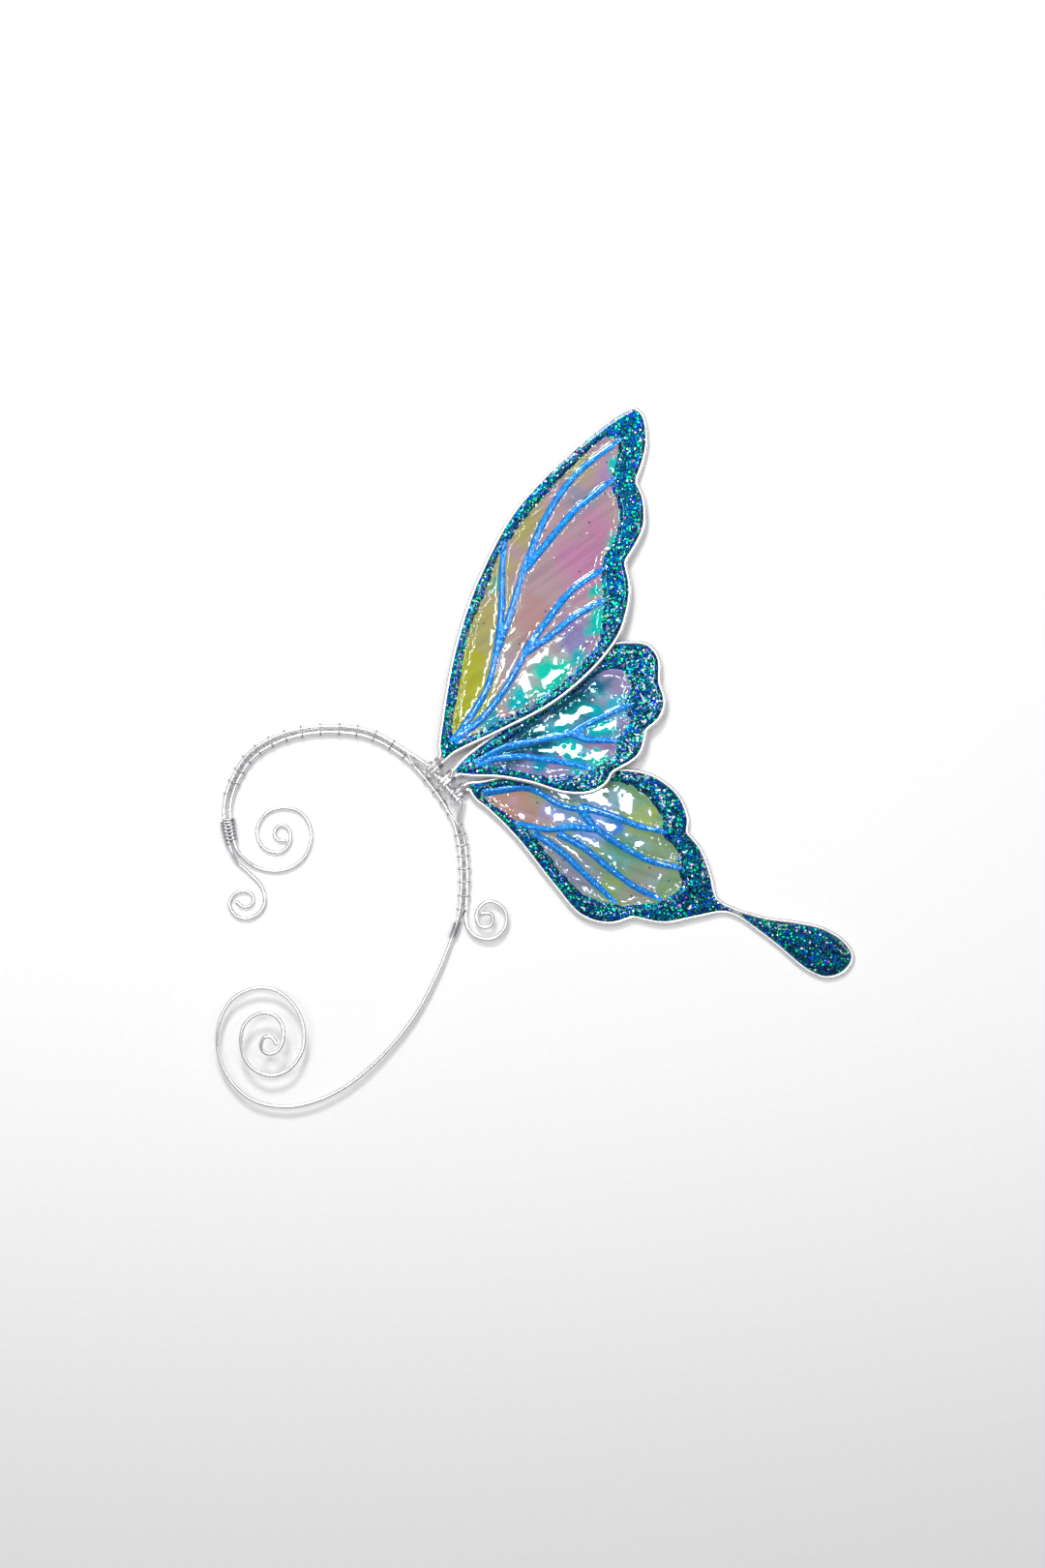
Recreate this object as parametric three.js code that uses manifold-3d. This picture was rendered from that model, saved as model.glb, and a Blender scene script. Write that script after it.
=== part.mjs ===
// Fairy-wing ear cuff: a wire hook for one ear, and three butterfly wings whose wire stems are
// coiled round the cuff's outer wire. Millimetres, +Z up. The cuff lies on the plane z = 0 with
// its front up: the ear opening is on the -X side and the wings spread to +X.

import * as THREE from 'three';
import { mergeVertices } from 'three/addons/utils/BufferGeometryUtils.js';
import Module from 'manifold-3d';

const wasm = await Module();
wasm.setup();

// ---------------------------------------------------------------- driving dimensions

const WIRE = 0.8; // ear wire, outer wire and wing frames
const WRAP = 0.3; // thin binding wire
const BAND = 0.45; // upper binding wire
const PAIR_GAP = 1.15; // centre to centre, where the two cuff wires run side by side
const STEM_GAP = 0.84; // centre to centre, the two stem wires of a wing
const WRAP_FIT = 0.14; // play between a binding and the wire it is wound on

const WIRE_SIDES = 6;
const THIN_SIDES = 5;
const STEP = 2.6; // length of one facet along a wire
const BOUND_STEP = 1.9; // and where another wire is bound close to it
const COIL_STEPS = 8; // facets in one turn of a stem coil

// Hinge: the straight stretch of the outer wire that the wing stems are coiled round.
const HINGE_START = new THREE.Vector3(-20.8, -0.5, 2);
const HINGE_ALONG = new THREE.Vector3(0.676, -0.737, 0).normalize();
const HINGE_OUT = new THREE.Vector3(0.737, 0.676, 0).normalize();
const HINGE_LENGTH = 10.3;
const COIL_RADIUS = 0.9; // hinge axis to the centre of the coiled stem wire
const COIL_PITCH = 0.84;
const FIRST_COIL_TURNS = 1;
const LAST_COIL_TURNS = 0.75;

// Levels of a wing's layers, measured from the middle of its frame wire.
const FILM_LEVELS = [-0.35, -0.2];
const GLITTER_LEVELS = [-0.17, 0.38];
const CLEAR_LEVELS = [-0.17, 0.36];
const VEIN_LEVELS = [0.42, 0.58];
const FRAME_INSET = 0.55; // frame wire's middle to the edge of the film
const WINDOW_INSET = 0.12; // play between the glitter border and the clear resin
const WINDOW_STEPS = 2; // facets from one point of a window's outline to the next
const MERGE_GAP = 1e-5;

const UP = new THREE.Vector3(0, 0, 1);

// ---------------------------------------------------------------- materials

function finish(colour, roughness, metalness) {
  return new THREE.MeshStandardMaterial({ color: colour, roughness, metalness });
}

const silver = finish(0xd8dadd, 0.22, 1);
const glitter = finish(0x0a4a6c, 0.35, 0.4);
const clearResin = finish(0xb79ab4, 0.08, 0.1);
const filmFinish = finish(0xa08a9c, 0.3, 0.2);
const veinFinish = finish(0x1c86d8, 0.3, 0.4);

// ---------------------------------------------------------------- wires

// A path that is cut at its own points, so the points set how fine each stretch is.
class StationPath extends THREE.CatmullRomCurve3 {
  getUtoTmapping(u) {
    return u;
  }
}

function roundSection(diameter, sides) {
  const corners = [];
  for (let i = 0; i < sides; i += 1) {
    const angle = (2 * Math.PI * i) / sides;
    corners.push(new THREE.Vector2(Math.cos(angle), Math.sin(angle)).multiplyScalar(diameter / 2));
  }
  return new THREE.Shape(corners);
}

function wireMesh(name, stations, diameter, sides) {
  const extrudePath = new StationPath(stations);
  const steps = stations.length - 1;
  const geometry = new THREE.ExtrudeGeometry(roundSection(diameter, sides), { steps, extrudePath });
  return namedMesh(name, geometry, silver);
}

function namedMesh(name, geometry, material) {
  const mesh = new THREE.Mesh(geometry, material);
  mesh.name = name;
  return mesh;
}

function smoothCurve(points, closed = false) {
  return new THREE.CatmullRomCurve3(points, closed, 'centripetal');
}

// Points of a flat route, raised evenly from one height to another.
function raised(route, zStart, zEnd = zStart) {
  const last = route.length - 1;
  return route.map(([x, y], i) => {
    const z = THREE.MathUtils.lerp(zStart, zEnd, i / last);
    return new THREE.Vector3(x, y, z);
  });
}

// Stations along a smooth curve through some points: every point, and more between points that
// are further apart than the step there.
function stationsThrough(points, stepAt = () => STEP) {
  const curve = smoothCurve(points);
  const spans = points.length - 1;
  const stations = [];
  for (let i = 0; i < spans; i += 1) {
    const count = Math.max(1, Math.round(points[i].distanceTo(points[i + 1]) / stepAt(i)));
    for (let k = 0; k < count; k += 1) {
      stations.push(curve.getPoint((i + k / count) / spans));
    }
  }
  return [...stations, points.at(-1)];
}

// Stretches joined end to start, so that a sharp bend stays where two of them meet.
function stationsAlong(stretches) {
  const stations = [];
  stretches.forEach((stretch, i) => {
    const joined = i === 0 ? stretch : [stations.pop(), ...stretch];
    stations.push(...stationsThrough(joined));
  });
  return stations;
}

// ---------------------------------------------------------------- cuff

const UPPER_SPIRAL = [
  [-46.7, -15.1], [-48.2, -15], [-48.9, -13.6], [-47.5, -12], [-45.9, -13], [-45.9, -15.8],
  [-47.8, -17.3], [-50.8, -16.4], [-52, -13.4], [-50.3, -10], [-46.7, -8.9], [-43.3, -10.2],
  [-41.8, -14.1], [-43.3, -18.4], [-47, -20.6], [-51.7, -20.2],
];
const ARCH = [
  [-55.4, -17.2], [-56.8, -11.7], [-56.8, -7.9], [-55.4, -3.8], [-53, 0], [-48.9, 2.9],
  [-43.6, 4.6], [-37.1, 5.1], [-31.1, 4.2], [-25.4, 1.1], [-21.9, -2.1],
];
const ROOT = [[-19.8, -4.6], [-18.1, -6.8], [-16.7, -9]];
const EAR_BACK = [
  [-15.4, -11.6], [-14.6, -14.4], [-14.1, -17.7], [-13.9, -21.6], [-14, -25.9], [-14.6, -30.1],
];
const LOBE_SWEEP = [
  [-15.7, -33.3], [-18.2, -39.6], [-22.9, -48.2], [-29.3, -55.8], [-35.6, -60.9], [-42, -63.8],
];
const LOBE_SPIRAL = [
  [-47.7, -64.5], [-53.1, -63], [-57.2, -59], [-59.1, -53.9], [-58.8, -48.8], [-56.3, -44.4],
  [-52.1, -42.4], [-48.3, -42.8], [-44.8, -45.7], [-43.1, -49.8], [-43.4, -54.2], [-46.1, -57.7],
  [-49.6, -58.6], [-53.1, -56.8], [-54.7, -53], [-53.9, -48.8], [-50.9, -46.9], [-47.4, -48.2],
  [-46.7, -50.9], [-48.7, -54.4], [-50.9, -53.6], [-50.2, -51.4], [-48.3, -52],
];
const SMALL_CURL = [
  [-55.8, -26.4], [-54.4, -27.6], [-52.6, -26.7], [-53.1, -24.7], [-55.8, -24.7], [-57.2, -26.8],
  [-55.8, -29.2], [-53, -29.5], [-50.6, -27.3], [-50.9, -23.9], [-53.3, -21.2], [-55.6, -19.2],
];
const LOWER_CURL = [
  [-13.1, -29.3], [-12.7, -31.2], [-11.6, -32.7], [-8.1, -33.4], [-5.6, -31], [-5.8, -27.9],
  [-8.6, -26.2], [-11, -28.2], [-10.5, -31], [-8.2, -30.9], [-8.2, -28.5], [-10.1, -28.6],
];

const FLOOR_LEVEL = 0.43; // a wire that lies on the table
const BOUND_LEVEL = 1; // a wire with a binding under it
const ARCH_LEVEL = 0.95;
const ROOT_LEVEL = 0.85;
const LOBE_LEVEL = 2;
const LOBE_TOP = 5.6;
const CURL_LEVEL = 2;

const earPoints = [
  ...raised(UPPER_SPIRAL, FLOOR_LEVEL),
  ...raised(ARCH, BOUND_LEVEL, ARCH_LEVEL),
  ...raised(ROOT, ROOT_LEVEL),
  ...raised(EAR_BACK, ARCH_LEVEL),
  ...raised(LOBE_SWEEP, ARCH_LEVEL, LOBE_LEVEL),
  ...raised(LOBE_SPIRAL, LOBE_LEVEL, LOBE_TOP),
];
const earCurve = smoothCurve(earPoints);
const archStart = UPPER_SPIRAL.length;
const rootStart = archStart + ARCH.length;
const backStart = rootStart + ROOT.length;
const sweepStart = backStart + EAR_BACK.length;

// Place and direction of the ear wire, counted in points from its upper end.
function earPlace(index) {
  return earCurve.getPoint(index / (earPoints.length - 1));
}

function earDirection(index) {
  return earCurve.getTangent(index / (earPoints.length - 1));
}

// The outer wire beside the ear wire: on its outer side, and lifted where it climbs to the hinge.
function besideEar(index, lift) {
  const side = new THREE.Vector3().crossVectors(UP, earDirection(index)).setLength(PAIR_GAP);
  return earPlace(index).add(side).addScaledVector(UP, lift);
}

function hingePoint(along) {
  return HINGE_START.clone().addScaledVector(HINGE_ALONG, along);
}

function earWire() {
  const bound = (index) => index >= archStart && index < sweepStart;
  const stations = stationsThrough(earPoints, (index) => (bound(index) ? BOUND_STEP : STEP));
  return wireMesh('ear_wire', stations, WIRE, WIRE_SIDES);
}

const ARCH_LIFTS = [0, 0, 0, 0, 0, 0, 0, 0, 0, 0.45];
const BACK_LIFTS = [0.5, 0.1, 0, 0, 0];

const outerArch = ARCH_LIFTS.map((lift, i) => besideEar(archStart + i, lift));
const outerBack = [
  ...BACK_LIFTS.map((lift, i) => besideEar(backStart + i, lift)),
  ...raised(LOWER_CURL, ARCH_LEVEL, CURL_LEVEL),
];

function outerWire() {
  const curl = raised(SMALL_CURL, FLOOR_LEVEL);
  const stations = [
    ...stationsThrough([...curl, ...outerArch, hingePoint(0)], () => BOUND_STEP),
    ...stationsThrough([hingePoint(HINGE_LENGTH), ...outerBack], () => BOUND_STEP),
  ];
  return wireMesh('outer_wire', stations, WIRE, WIRE_SIDES);
}

// ---------------------------------------------------------------- bindings

// One turn of a binding round two wires: quarter points on each wire, in order.
const ROUND_BOTH = [[-90, 1], [-30, 1], [30, 1], [90, 1], [90, 0], [150, 0], [210, 0], [270, 0]];
const ROUND_FIRST = [[-90, 0], [-30, 0], [30, 0], [90, 0], [150, 0], [210, 0]];

// Turns of thin wire round one or two wires, from one place along them to another.
// frameAt(place) gives the middle of the first wire, the middle of the second and their direction.
function turns(frameAt, { from, to, count }, corners, diameter) {
  const radius = (WIRE + diameter) / 2 + WRAP_FIT;
  const points = [];
  for (let turn = 0; turn < count; turn += 1) {
    corners.forEach(([degrees, second], i) => {
      const share = (turn + i / corners.length) / count;
      const { first, other, along } = frameAt(THREE.MathUtils.lerp(from, to, share));
      const gap = other.clone().sub(first).projectOnPlane(along);
      const across = gap.clone().normalize();
      const raise = new THREE.Vector3().crossVectors(across, along).normalize();
      const angle = THREE.MathUtils.degToRad(degrees);
      const point = first.clone().addScaledVector(gap, second);
      point.addScaledVector(across, radius * Math.cos(angle));
      point.addScaledVector(raise, radius * Math.sin(angle));
      points.push(point);
    });
  }
  return points;
}

const outerArchCurve = smoothCurve([...outerArch, hingePoint(0)]);
const outerBackCurve = smoothCurve([hingePoint(HINGE_LENGTH), ...outerBack]);

function archFrame(place) {
  const index = archStart + place;
  const other = outerArchCurve.getPoint(place / outerArch.length);
  return { first: earPlace(index), other, along: earDirection(index) };
}

// Round the ear wire alone: any second point beside it sets where a turn starts.
function rootFrame(place) {
  const first = earPlace(archStart + place);
  const along = earDirection(archStart + place);
  const side = new THREE.Vector3().crossVectors(UP, along);
  return { first, other: first.clone().add(side), along };
}

function backFrame(place) {
  const index = archStart + place;
  const other = outerBackCurve.getPoint((index - backStart + 1) / outerBack.length);
  return { first: earPlace(index), other, along: earDirection(index) };
}

// Runs of the bindings, counted in points of the ear wire from the start of the arch.
const UPPER_RUN = { from: 0.35, to: 1.15, count: 7 };
const ARCH_RUN = { from: 2.3, to: 9.2, count: 13 };
const ROOT_RUN = { from: 9.7, to: 13.4, count: 4 };
const BACK_RUN = { from: 14.3, to: 18.45, count: 7 };
const END_RUN = { from: 19, to: 19.95, count: 9 };

function wrapWire() {
  const stations = [
    ...turns(archFrame, ARCH_RUN, ROUND_BOTH, WRAP),
    ...turns(rootFrame, ROOT_RUN, ROUND_FIRST, WRAP),
    ...turns(backFrame, BACK_RUN, ROUND_BOTH, WRAP),
    ...turns(rootFrame, END_RUN, ROUND_FIRST, WRAP),
  ];
  return wireMesh('wrap_wire', stations, WRAP, THIN_SIDES);
}

function upperBinding() {
  const stations = turns(archFrame, UPPER_RUN, ROUND_BOTH, BAND);
  return wireMesh('upper_binding', stations, BAND, THIN_SIDES);
}

// ---------------------------------------------------------------- wings

// Each wing: where its coil sits along the hinge, whether its stem leaves over or under the
// hinge wire, the slope of its plane, and the stretches of its frame from the stem's first
// wire round to its second. A sharp bend stays at the end of each stretch.
const UPPER = {
  name: 'upper',
  coilAt: 1.95,
  side: 1,
  plane: { z: 3.66, alongX: 0.0372, alongY: -0.06 },
  outline: [
    [[-17.9, 2.2], [-17.3, 7.6], [-15.5, 18.4], [-12.6, 28.6], [-9.9, 35.3], [-4.6, 45.2],
      [2, 52.9], [10.2, 60.3], [15.7, 64.4], [18.2, 65.4], [19.8, 64.3], [20.6, 59.6],
      [19.8, 55.3], [18.5, 51.8]],
    [[19.8, 49], [20.1, 43.8], [18.7, 40.3], [16.5, 36.8]],
    [[17.4, 31.5], [15.8, 24.2], [12.8, 19.5], [8, 14.5], [2.1, 10], [-7.2, 5.2], [-15.4, 1.2]],
  ],
  window: [
    [-15.3, 4.6], [-13.9, 15.3], [-12.6, 23.4], [-9.2, 31.7], [-6.7, 38.2], [-2.5, 44.1],
    [3.1, 50.7], [9.4, 57.1], [13.5, 60.1], [15.1, 59.2], [15, 55.8], [13.9, 51.5], [15.4, 47.2],
    [14.9, 41.8], [12.3, 36.5], [12.4, 31.5], [12.1, 23.4], [10.4, 20.2], [3.4, 13.1],
    [-6.1, 7.6], [-13, 4.2],
  ],
  veins: {
    upper_veins: [
      [[-15.3, 3.4], [-11.5, 9], [-8.8, 14], [-6.8, 23]],
      [[-7.1, 21.2], [-6.3, 29.2], [-6.3, 35.1], [-5.9, 39.4]],
      [[-7.4, 19.8], [-4.9, 26.6], [-3.1, 32.6], [-2, 36.2]],
      [[-2.3, 34.7], [1.1, 43.7], [5.2, 50.4], [9.4, 54.9], [14.6, 58.8]],
      [[-2.7, 34.6], [2.2, 40.5], [7.2, 46.3], [13.7, 51.6]],
      [[-15.3, 3.4], [-10.1, 7.6], [-5.2, 14], [-0.9, 22]],
      [[-1.8, 20.3], [2.3, 26.1], [6.5, 31.3], [11.9, 35.1]],
      [[-2.2, 19.8], [2.3, 22.7], [7, 26.5], [11.9, 29.3]],
    ],
  },
};

const MIDDLE = {
  name: 'middle',
  coilAt: 5.22,
  side: 1,
  plane: { z: 2.3, alongX: 0.013, alongY: -0.0597 },
  outline: [
    [[-13.9, -0.3], [-8.8, 3.8], [0.2, 9.7], [8.3, 16.4], [14, 21.4], [17.3, 21.8],
      [20.7, 21.4], [22.7, 19.1], [22.9, 14.4]],
    [[23.9, 10.8], [22.7, 7.5], [20.4, 5.6]],
    [[20, 3.3], [18.8, 0.6], [14.1, -2.3]],
    [[12.8, -4.5], [10, -6], [5.3, -6], [-0.6, -4.2], [-6.7, -3.1], [-12.4, -2.9]],
  ],
  window: [
    [-10.9, -0.6], [-4.3, 4.1], [4.7, 10.4], [13.3, 16.7], [16.4, 16.4], [17.6, 13.9],
    [16.5, 9.9], [17.4, 7], [15, 4.1], [14.7, 1.1], [9.5, -2.2], [1.4, -3.1], [-7, -1.2],
  ],
  veins: {
    middle_veins: [
      [[-11.1, -0.6], [-5.6, 2.3], [0.5, 3.6], [7.4, 5]],
      [[5.9, 4.5], [9.5, 6.7], [13.7, 8.6], [16.7, 9.9]],
      [[6.1, 5], [9.5, 3.8], [14, 3.6]],
      [[-11.1, -0.6], [-4, 0.6], [2, 0], [9.7, -1.4]],
    ],
  },
};

const LOWER = {
  name: 'lower',
  coilAt: 8.47,
  side: -1,
  plane: { z: 1.05, alongX: -0.0165, alongY: -0.01 },
  outline: [
    [[-10.6, -4.2], [-3.4, -2.7], [8.3, -2.2], [16.4, -1.9], [22, -3.1], [26.6, -6.8],
      [28.3, -11.2], [28, -13.5]],
    [[30.4, -16.3], [32.4, -21.1], [33.8, -26], [37.9, -28.2]],
    [[42.7, -29.5], [48.5, -30.3], [53.6, -31.5], [57.6, -34.1], [59, -36.9], [57.3, -39.6],
      [54, -40.5], [50.5, -39.1], [44.7, -34.3], [38.2, -29.4]],
    [[35.2, -28.3], [29.9, -29.2], [23.8, -30.3], [18.1, -29.2]],
    [[13.8, -30.4], [8.5, -28.9], [3.3, -23.1], [-3.6, -14.4], [-8.8, -9.2], [-11.4, -7.1]],
  ],
  window: [
    [-10.2, -6.3], [1.1, -4.5], [16.2, -4.3], [20.7, -7], [23.4, -10.8], [23.6, -13.7],
    [26.3, -17.1], [26.6, -20.5], [27.1, -23.2], [24.1, -25.9], [19.6, -27], [12.8, -26.5],
    [8.9, -25], [4.7, -20.9], [-0.7, -13.7], [-5.6, -9.9],
  ],
  veins: {
    lower_vein_tree: [
      [[-9.9, -6.2], [-1.1, -5.4], [4.7, -8.5], [9.9, -9.5]],
      [[8.3, -8.6], [14.4, -10.5], [19.3, -12.4], [23.3, -13.3]],
      [[7.9, -8.8], [11, -12.6], [15.8, -16], [21.4, -18.9], [26.1, -20]],
      [[11.2, -13], [6.5, -12.6], [2, -13], [-2.9, -11.9]],
    ],
    lower_vein_inner: [[[-0.4, -14], [4.4, -17.2], [8.9, -21.4], [13.9, -25.9]]],
    lower_vein_outer: [[[4, -14], [8.9, -16.4], [13.7, -20.2], [18.5, -23.7], [22.5, -25.6]]],
  },
};

const NECK_NEAR = 0.45; // distances from the hinge along the stem
const NECK_FAR = 3.1;
const NECK_RUN = { from: 0.4, to: 0.77, count: 3 }; // the neck binding, as shares of that length

function planeHeight(wing, x, y) {
  return wing.plane.z + wing.plane.alongX * x + wing.plane.alongY * y;
}

// A point beside the hinge: along it, outwards from it and above it.
function besideHinge(along, out, above) {
  return hingePoint(along).addScaledVector(HINGE_OUT, out).addScaledVector(UP, above);
}

// The stem wire where it is coiled round the hinge, from the stem to its cut end.
function stemCoil(wing, start, direction, count) {
  const points = [];
  for (let i = 0; i <= count * COIL_STEPS; i += 1) {
    const angle = (2 * Math.PI * i) / COIL_STEPS;
    const along = start + (direction * COIL_PITCH * i) / COIL_STEPS;
    const above = wing.side * COIL_RADIUS * Math.cos(angle);
    points.push(besideHinge(along, -COIL_RADIUS * Math.sin(angle), above));
  }
  return points;
}

// The end of the neck, where the two stem wires part and enter the wing's plane.
function neckEnd(wing, direction) {
  const end = besideHinge(wing.coilAt + (direction * STEM_GAP) / 2, NECK_FAR, 0);
  return end.setZ(planeHeight(wing, end.x, end.y));
}

function neckStart(wing, direction) {
  return besideHinge(wing.coilAt + (direction * STEM_GAP) / 2, NECK_NEAR, wing.side * COIL_RADIUS);
}

function wingFrame(wing) {
  const onPlane = ([x, y]) => new THREE.Vector3(x, y, planeHeight(wing, x, y));
  const stretches = wing.outline.map((stretch) => stretch.map(onPlane));
  stretches[0].unshift(neckEnd(wing, -1));
  stretches.at(-1).push(neckEnd(wing, 1));
  const half = STEM_GAP / 2;
  const stations = [
    ...stemCoil(wing, wing.coilAt - half, -1, FIRST_COIL_TURNS).reverse(),
    neckStart(wing, -1),
    ...stationsAlong(stretches),
    neckStart(wing, 1),
    ...stemCoil(wing, wing.coilAt + half, 1, LAST_COIL_TURNS),
  ];
  return wireMesh(`${wing.name}_frame`, stations, WIRE, WIRE_SIDES);
}

function neckBinding(wing) {
  const starts = [neckStart(wing, -1), neckStart(wing, 1)];
  const ends = [neckEnd(wing, -1), neckEnd(wing, 1)];
  const along = ends[0].clone().sub(starts[0]).normalize();
  const frameAt = (share) => ({
    first: starts[0].clone().lerp(ends[0], share),
    other: starts[1].clone().lerp(ends[1], share),
    along,
  });
  const stations = turns(frameAt, NECK_RUN, ROUND_BOTH, WRAP);
  return wireMesh(`${wing.name}_neck_binding`, stations, WRAP, THIN_SIDES);
}

// A closed outline moved inwards. The outline runs clockwise seen from above.
function inset(outline, distance) {
  return outline.map((point, i) => {
    const before = outline.at(i - 1);
    const after = outline[(i + 1) % outline.length];
    const run = point.clone().sub(before).normalize();
    run.add(after.clone().sub(point).normalize());
    const inward = new THREE.Vector2(run.y, -run.x).normalize();
    return point.clone().addScaledVector(inward, distance);
  });
}

function flat(points) {
  return points.map((point) => new THREE.Vector2(point.x, point.y));
}

function frameOutline(stretches) {
  const level = stretches.map((stretch) => raised(stretch, 0));
  return flat(stationsAlong(level));
}

function windowOutline(wing) {
  const points = raised(wing.window, 0);
  const curve = smoothCurve(points, true);
  return flat(curve.getPoints(points.length * WINDOW_STEPS).slice(0, -1));
}

// A plate between two levels of a wing's plane.
function plateGeometry(wing, shape, [low, high]) {
  const geometry = new THREE.ExtrudeGeometry(shape, { depth: high - low, bevelEnabled: false });
  const slope = new THREE.Matrix4().set(
    1, 0, 0, 0,
    0, 1, 0, 0,
    wing.plane.alongX, wing.plane.alongY, 1, wing.plane.z + low,
    0, 0, 0, 1,
  );
  return geometry.applyMatrix4(slope);
}

// ---------------------------------------------------------------- veins

const VEIN_WIDTHS = [1, 0.55];
const VEIN_STEPS = 6;

// A stroke of raised resin that narrows from its root to its tip.
function stroke(points) {
  const curve = smoothCurve(raised(points, 0));
  const left = [];
  const right = [];
  for (let i = 0; i <= VEIN_STEPS; i += 1) {
    const share = i / VEIN_STEPS;
    const middle = curve.getPointAt(share);
    const side = new THREE.Vector3().crossVectors(UP, curve.getTangentAt(share));
    const half = THREE.MathUtils.lerp(...VEIN_WIDTHS, share) / 2;
    left.push(middle.clone().addScaledVector(side, half));
    right.unshift(middle.clone().addScaledVector(side, -half));
  }
  return new THREE.Shape(flat([...right.reverse(), ...left.reverse()]));
}

function toSolid(geometry) {
  geometry.deleteAttribute('normal');
  geometry.deleteAttribute('uv');
  const merged = mergeVertices(geometry, MERGE_GAP);
  const mesh = new wasm.Mesh({
    numProp: 3,
    vertProperties: Float32Array.from(merged.attributes.position.array),
    triVerts: Uint32Array.from(merged.index.array),
  });
  return new wasm.Manifold(mesh);
}

function toGeometry(solid) {
  const mesh = solid.getMesh();
  const geometry = new THREE.BufferGeometry();
  geometry.setAttribute('position', new THREE.BufferAttribute(mesh.vertProperties, 3));
  geometry.setIndex(new THREE.BufferAttribute(mesh.triVerts, 1));
  return geometry;
}

function veinMesh(wing, name, strokes) {
  const solids = strokes.map((points) => toSolid(plateGeometry(wing, stroke(points), VEIN_LEVELS)));
  const joined = solids.reduce((all, next) => all.add(next));
  return namedMesh(name, toGeometry(joined), veinFinish);
}

// ---------------------------------------------------------------- wing assembly

function wingPanels(wing, outline) {
  const edge = inset(outline, FRAME_INSET);
  const opening = windowOutline(wing);
  const border = new THREE.Shape(edge);
  border.holes.push(new THREE.Path(opening.toReversed()));
  const coat = new THREE.Shape(inset(opening, WINDOW_INSET));
  const film = plateGeometry(wing, new THREE.Shape(edge), FILM_LEVELS);
  return [
    namedMesh(`${wing.name}_film`, film, filmFinish),
    namedMesh(`${wing.name}_glitter_border`, plateGeometry(wing, border, GLITTER_LEVELS), glitter),
    namedMesh(`${wing.name}_clear_resin`, plateGeometry(wing, coat, CLEAR_LEVELS), clearResin),
  ];
}

function wingGroup(wing, outline = frameOutline(wing.outline)) {
  const group = new THREE.Group();
  group.add(wingFrame(wing), neckBinding(wing), ...wingPanels(wing, outline));
  for (const [name, strokes] of Object.entries(wing.veins)) {
    group.add(veinMesh(wing, name, strokes));
  }
  return group;
}

// The lower wing narrows to a waist before its tail, so its panel and its tail are filled apart.
const PANEL_END = 34.9;
const TAIL_START = 41;
const DROP_LEVELS = [FILM_LEVELS[0], GLITTER_LEVELS[1]];

function lowerWing() {
  const [top, right, tail, bottom, left] = LOWER.outline;
  const panel = frameOutline([top, right, bottom, left]).filter((point) => point.x < PANEL_END);
  const group = wingGroup(LOWER, panel);
  const tip = frameOutline([right, tail]).filter((point) => point.x > TAIL_START);
  const drop = new THREE.Shape(inset(tip, FRAME_INSET));
  group.add(namedMesh('tail_drop', plateGeometry(LOWER, drop, DROP_LEVELS), glitter));
  return group;
}

const cuff = new THREE.Group();
cuff.add(earWire(), outerWire(), wrapWire(), upperBinding());

const earCuff = new THREE.Group();
earCuff.add(cuff, wingGroup(UPPER), wingGroup(MIDDLE), lowerWing());

// The origin is the middle of the cuff's footprint, on the plane that it lies on.
const TO_ORIGIN = new THREE.Vector3(0.1, -0.45, 0.03);
earCuff.position.copy(TO_ORIGIN);

export default earCuff;
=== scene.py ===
import math

import bpy
import numpy as np
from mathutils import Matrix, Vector, noise
from mathutils.geometry import delaunay_2d_cdt


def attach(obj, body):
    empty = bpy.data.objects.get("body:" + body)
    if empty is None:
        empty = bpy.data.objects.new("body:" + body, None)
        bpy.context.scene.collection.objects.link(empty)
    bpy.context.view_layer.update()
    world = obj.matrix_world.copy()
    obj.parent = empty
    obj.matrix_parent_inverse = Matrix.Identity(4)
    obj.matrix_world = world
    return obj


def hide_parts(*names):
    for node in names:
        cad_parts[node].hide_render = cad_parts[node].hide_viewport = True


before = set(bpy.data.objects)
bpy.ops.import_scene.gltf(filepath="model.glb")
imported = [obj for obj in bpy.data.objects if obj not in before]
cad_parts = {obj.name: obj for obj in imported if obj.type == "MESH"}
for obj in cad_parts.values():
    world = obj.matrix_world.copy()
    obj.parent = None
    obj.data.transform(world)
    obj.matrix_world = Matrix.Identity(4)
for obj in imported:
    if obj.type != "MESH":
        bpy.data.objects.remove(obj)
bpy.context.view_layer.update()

# Looks of a fairy-wing ear cuff: smooth wires, cast resin wings and their materials.
# Routes and outlines are in millimetres and nearly all the CAD model's own. The lobe spiral's inner
# turns have more points here, and four vein strokes start or end up to 0.4 mm away from the CAD's.
# Meshes, lights and the scales of the noises are in metres.

MM = 0.001
SHIFT = np.array([0.1, -0.45, 0.03])  # added to every point, as in the CAD model, in millimetres
UP = np.array([0.0, 0.0, 1.0])

# ------------------------------------------------------------------ sizes
# They are the CAD model's, apart from COIL_RADIUS and the last three.

WIRE = 0.8
WRAP = 0.3
BAND = 0.45
PAIR_GAP = 1.15
STEM_GAP = 0.84
HINGE_START = np.array([-20.8, -0.5, 2.0])
HINGE_ALONG = np.array([0.676, -0.737, 0.0]) / math.hypot(0.676, 0.737)
HINGE_OUT = np.array([0.737, 0.676, 0.0]) / math.hypot(0.737, 0.676)
HINGE_LENGTH = 10.3
COIL_RADIUS = 0.84  # 0.9 in the CAD model, where the wires have flat sides
COIL_PITCH = 0.84
FIRST_COIL_TURNS = 1
LAST_COIL_TURNS = 0.75
NECK_NEAR = 0.45  # distances from the hinge along the stem
NECK_FAR = 3.1
NECK_RUN = (0.4, 0.77, 3)  # the neck binding: from and to, as shares of that length, and turns
FILM_BOTTOM = -0.35
FILM_TOP = -0.2
RESIN_BOTTOM = -0.19
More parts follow.
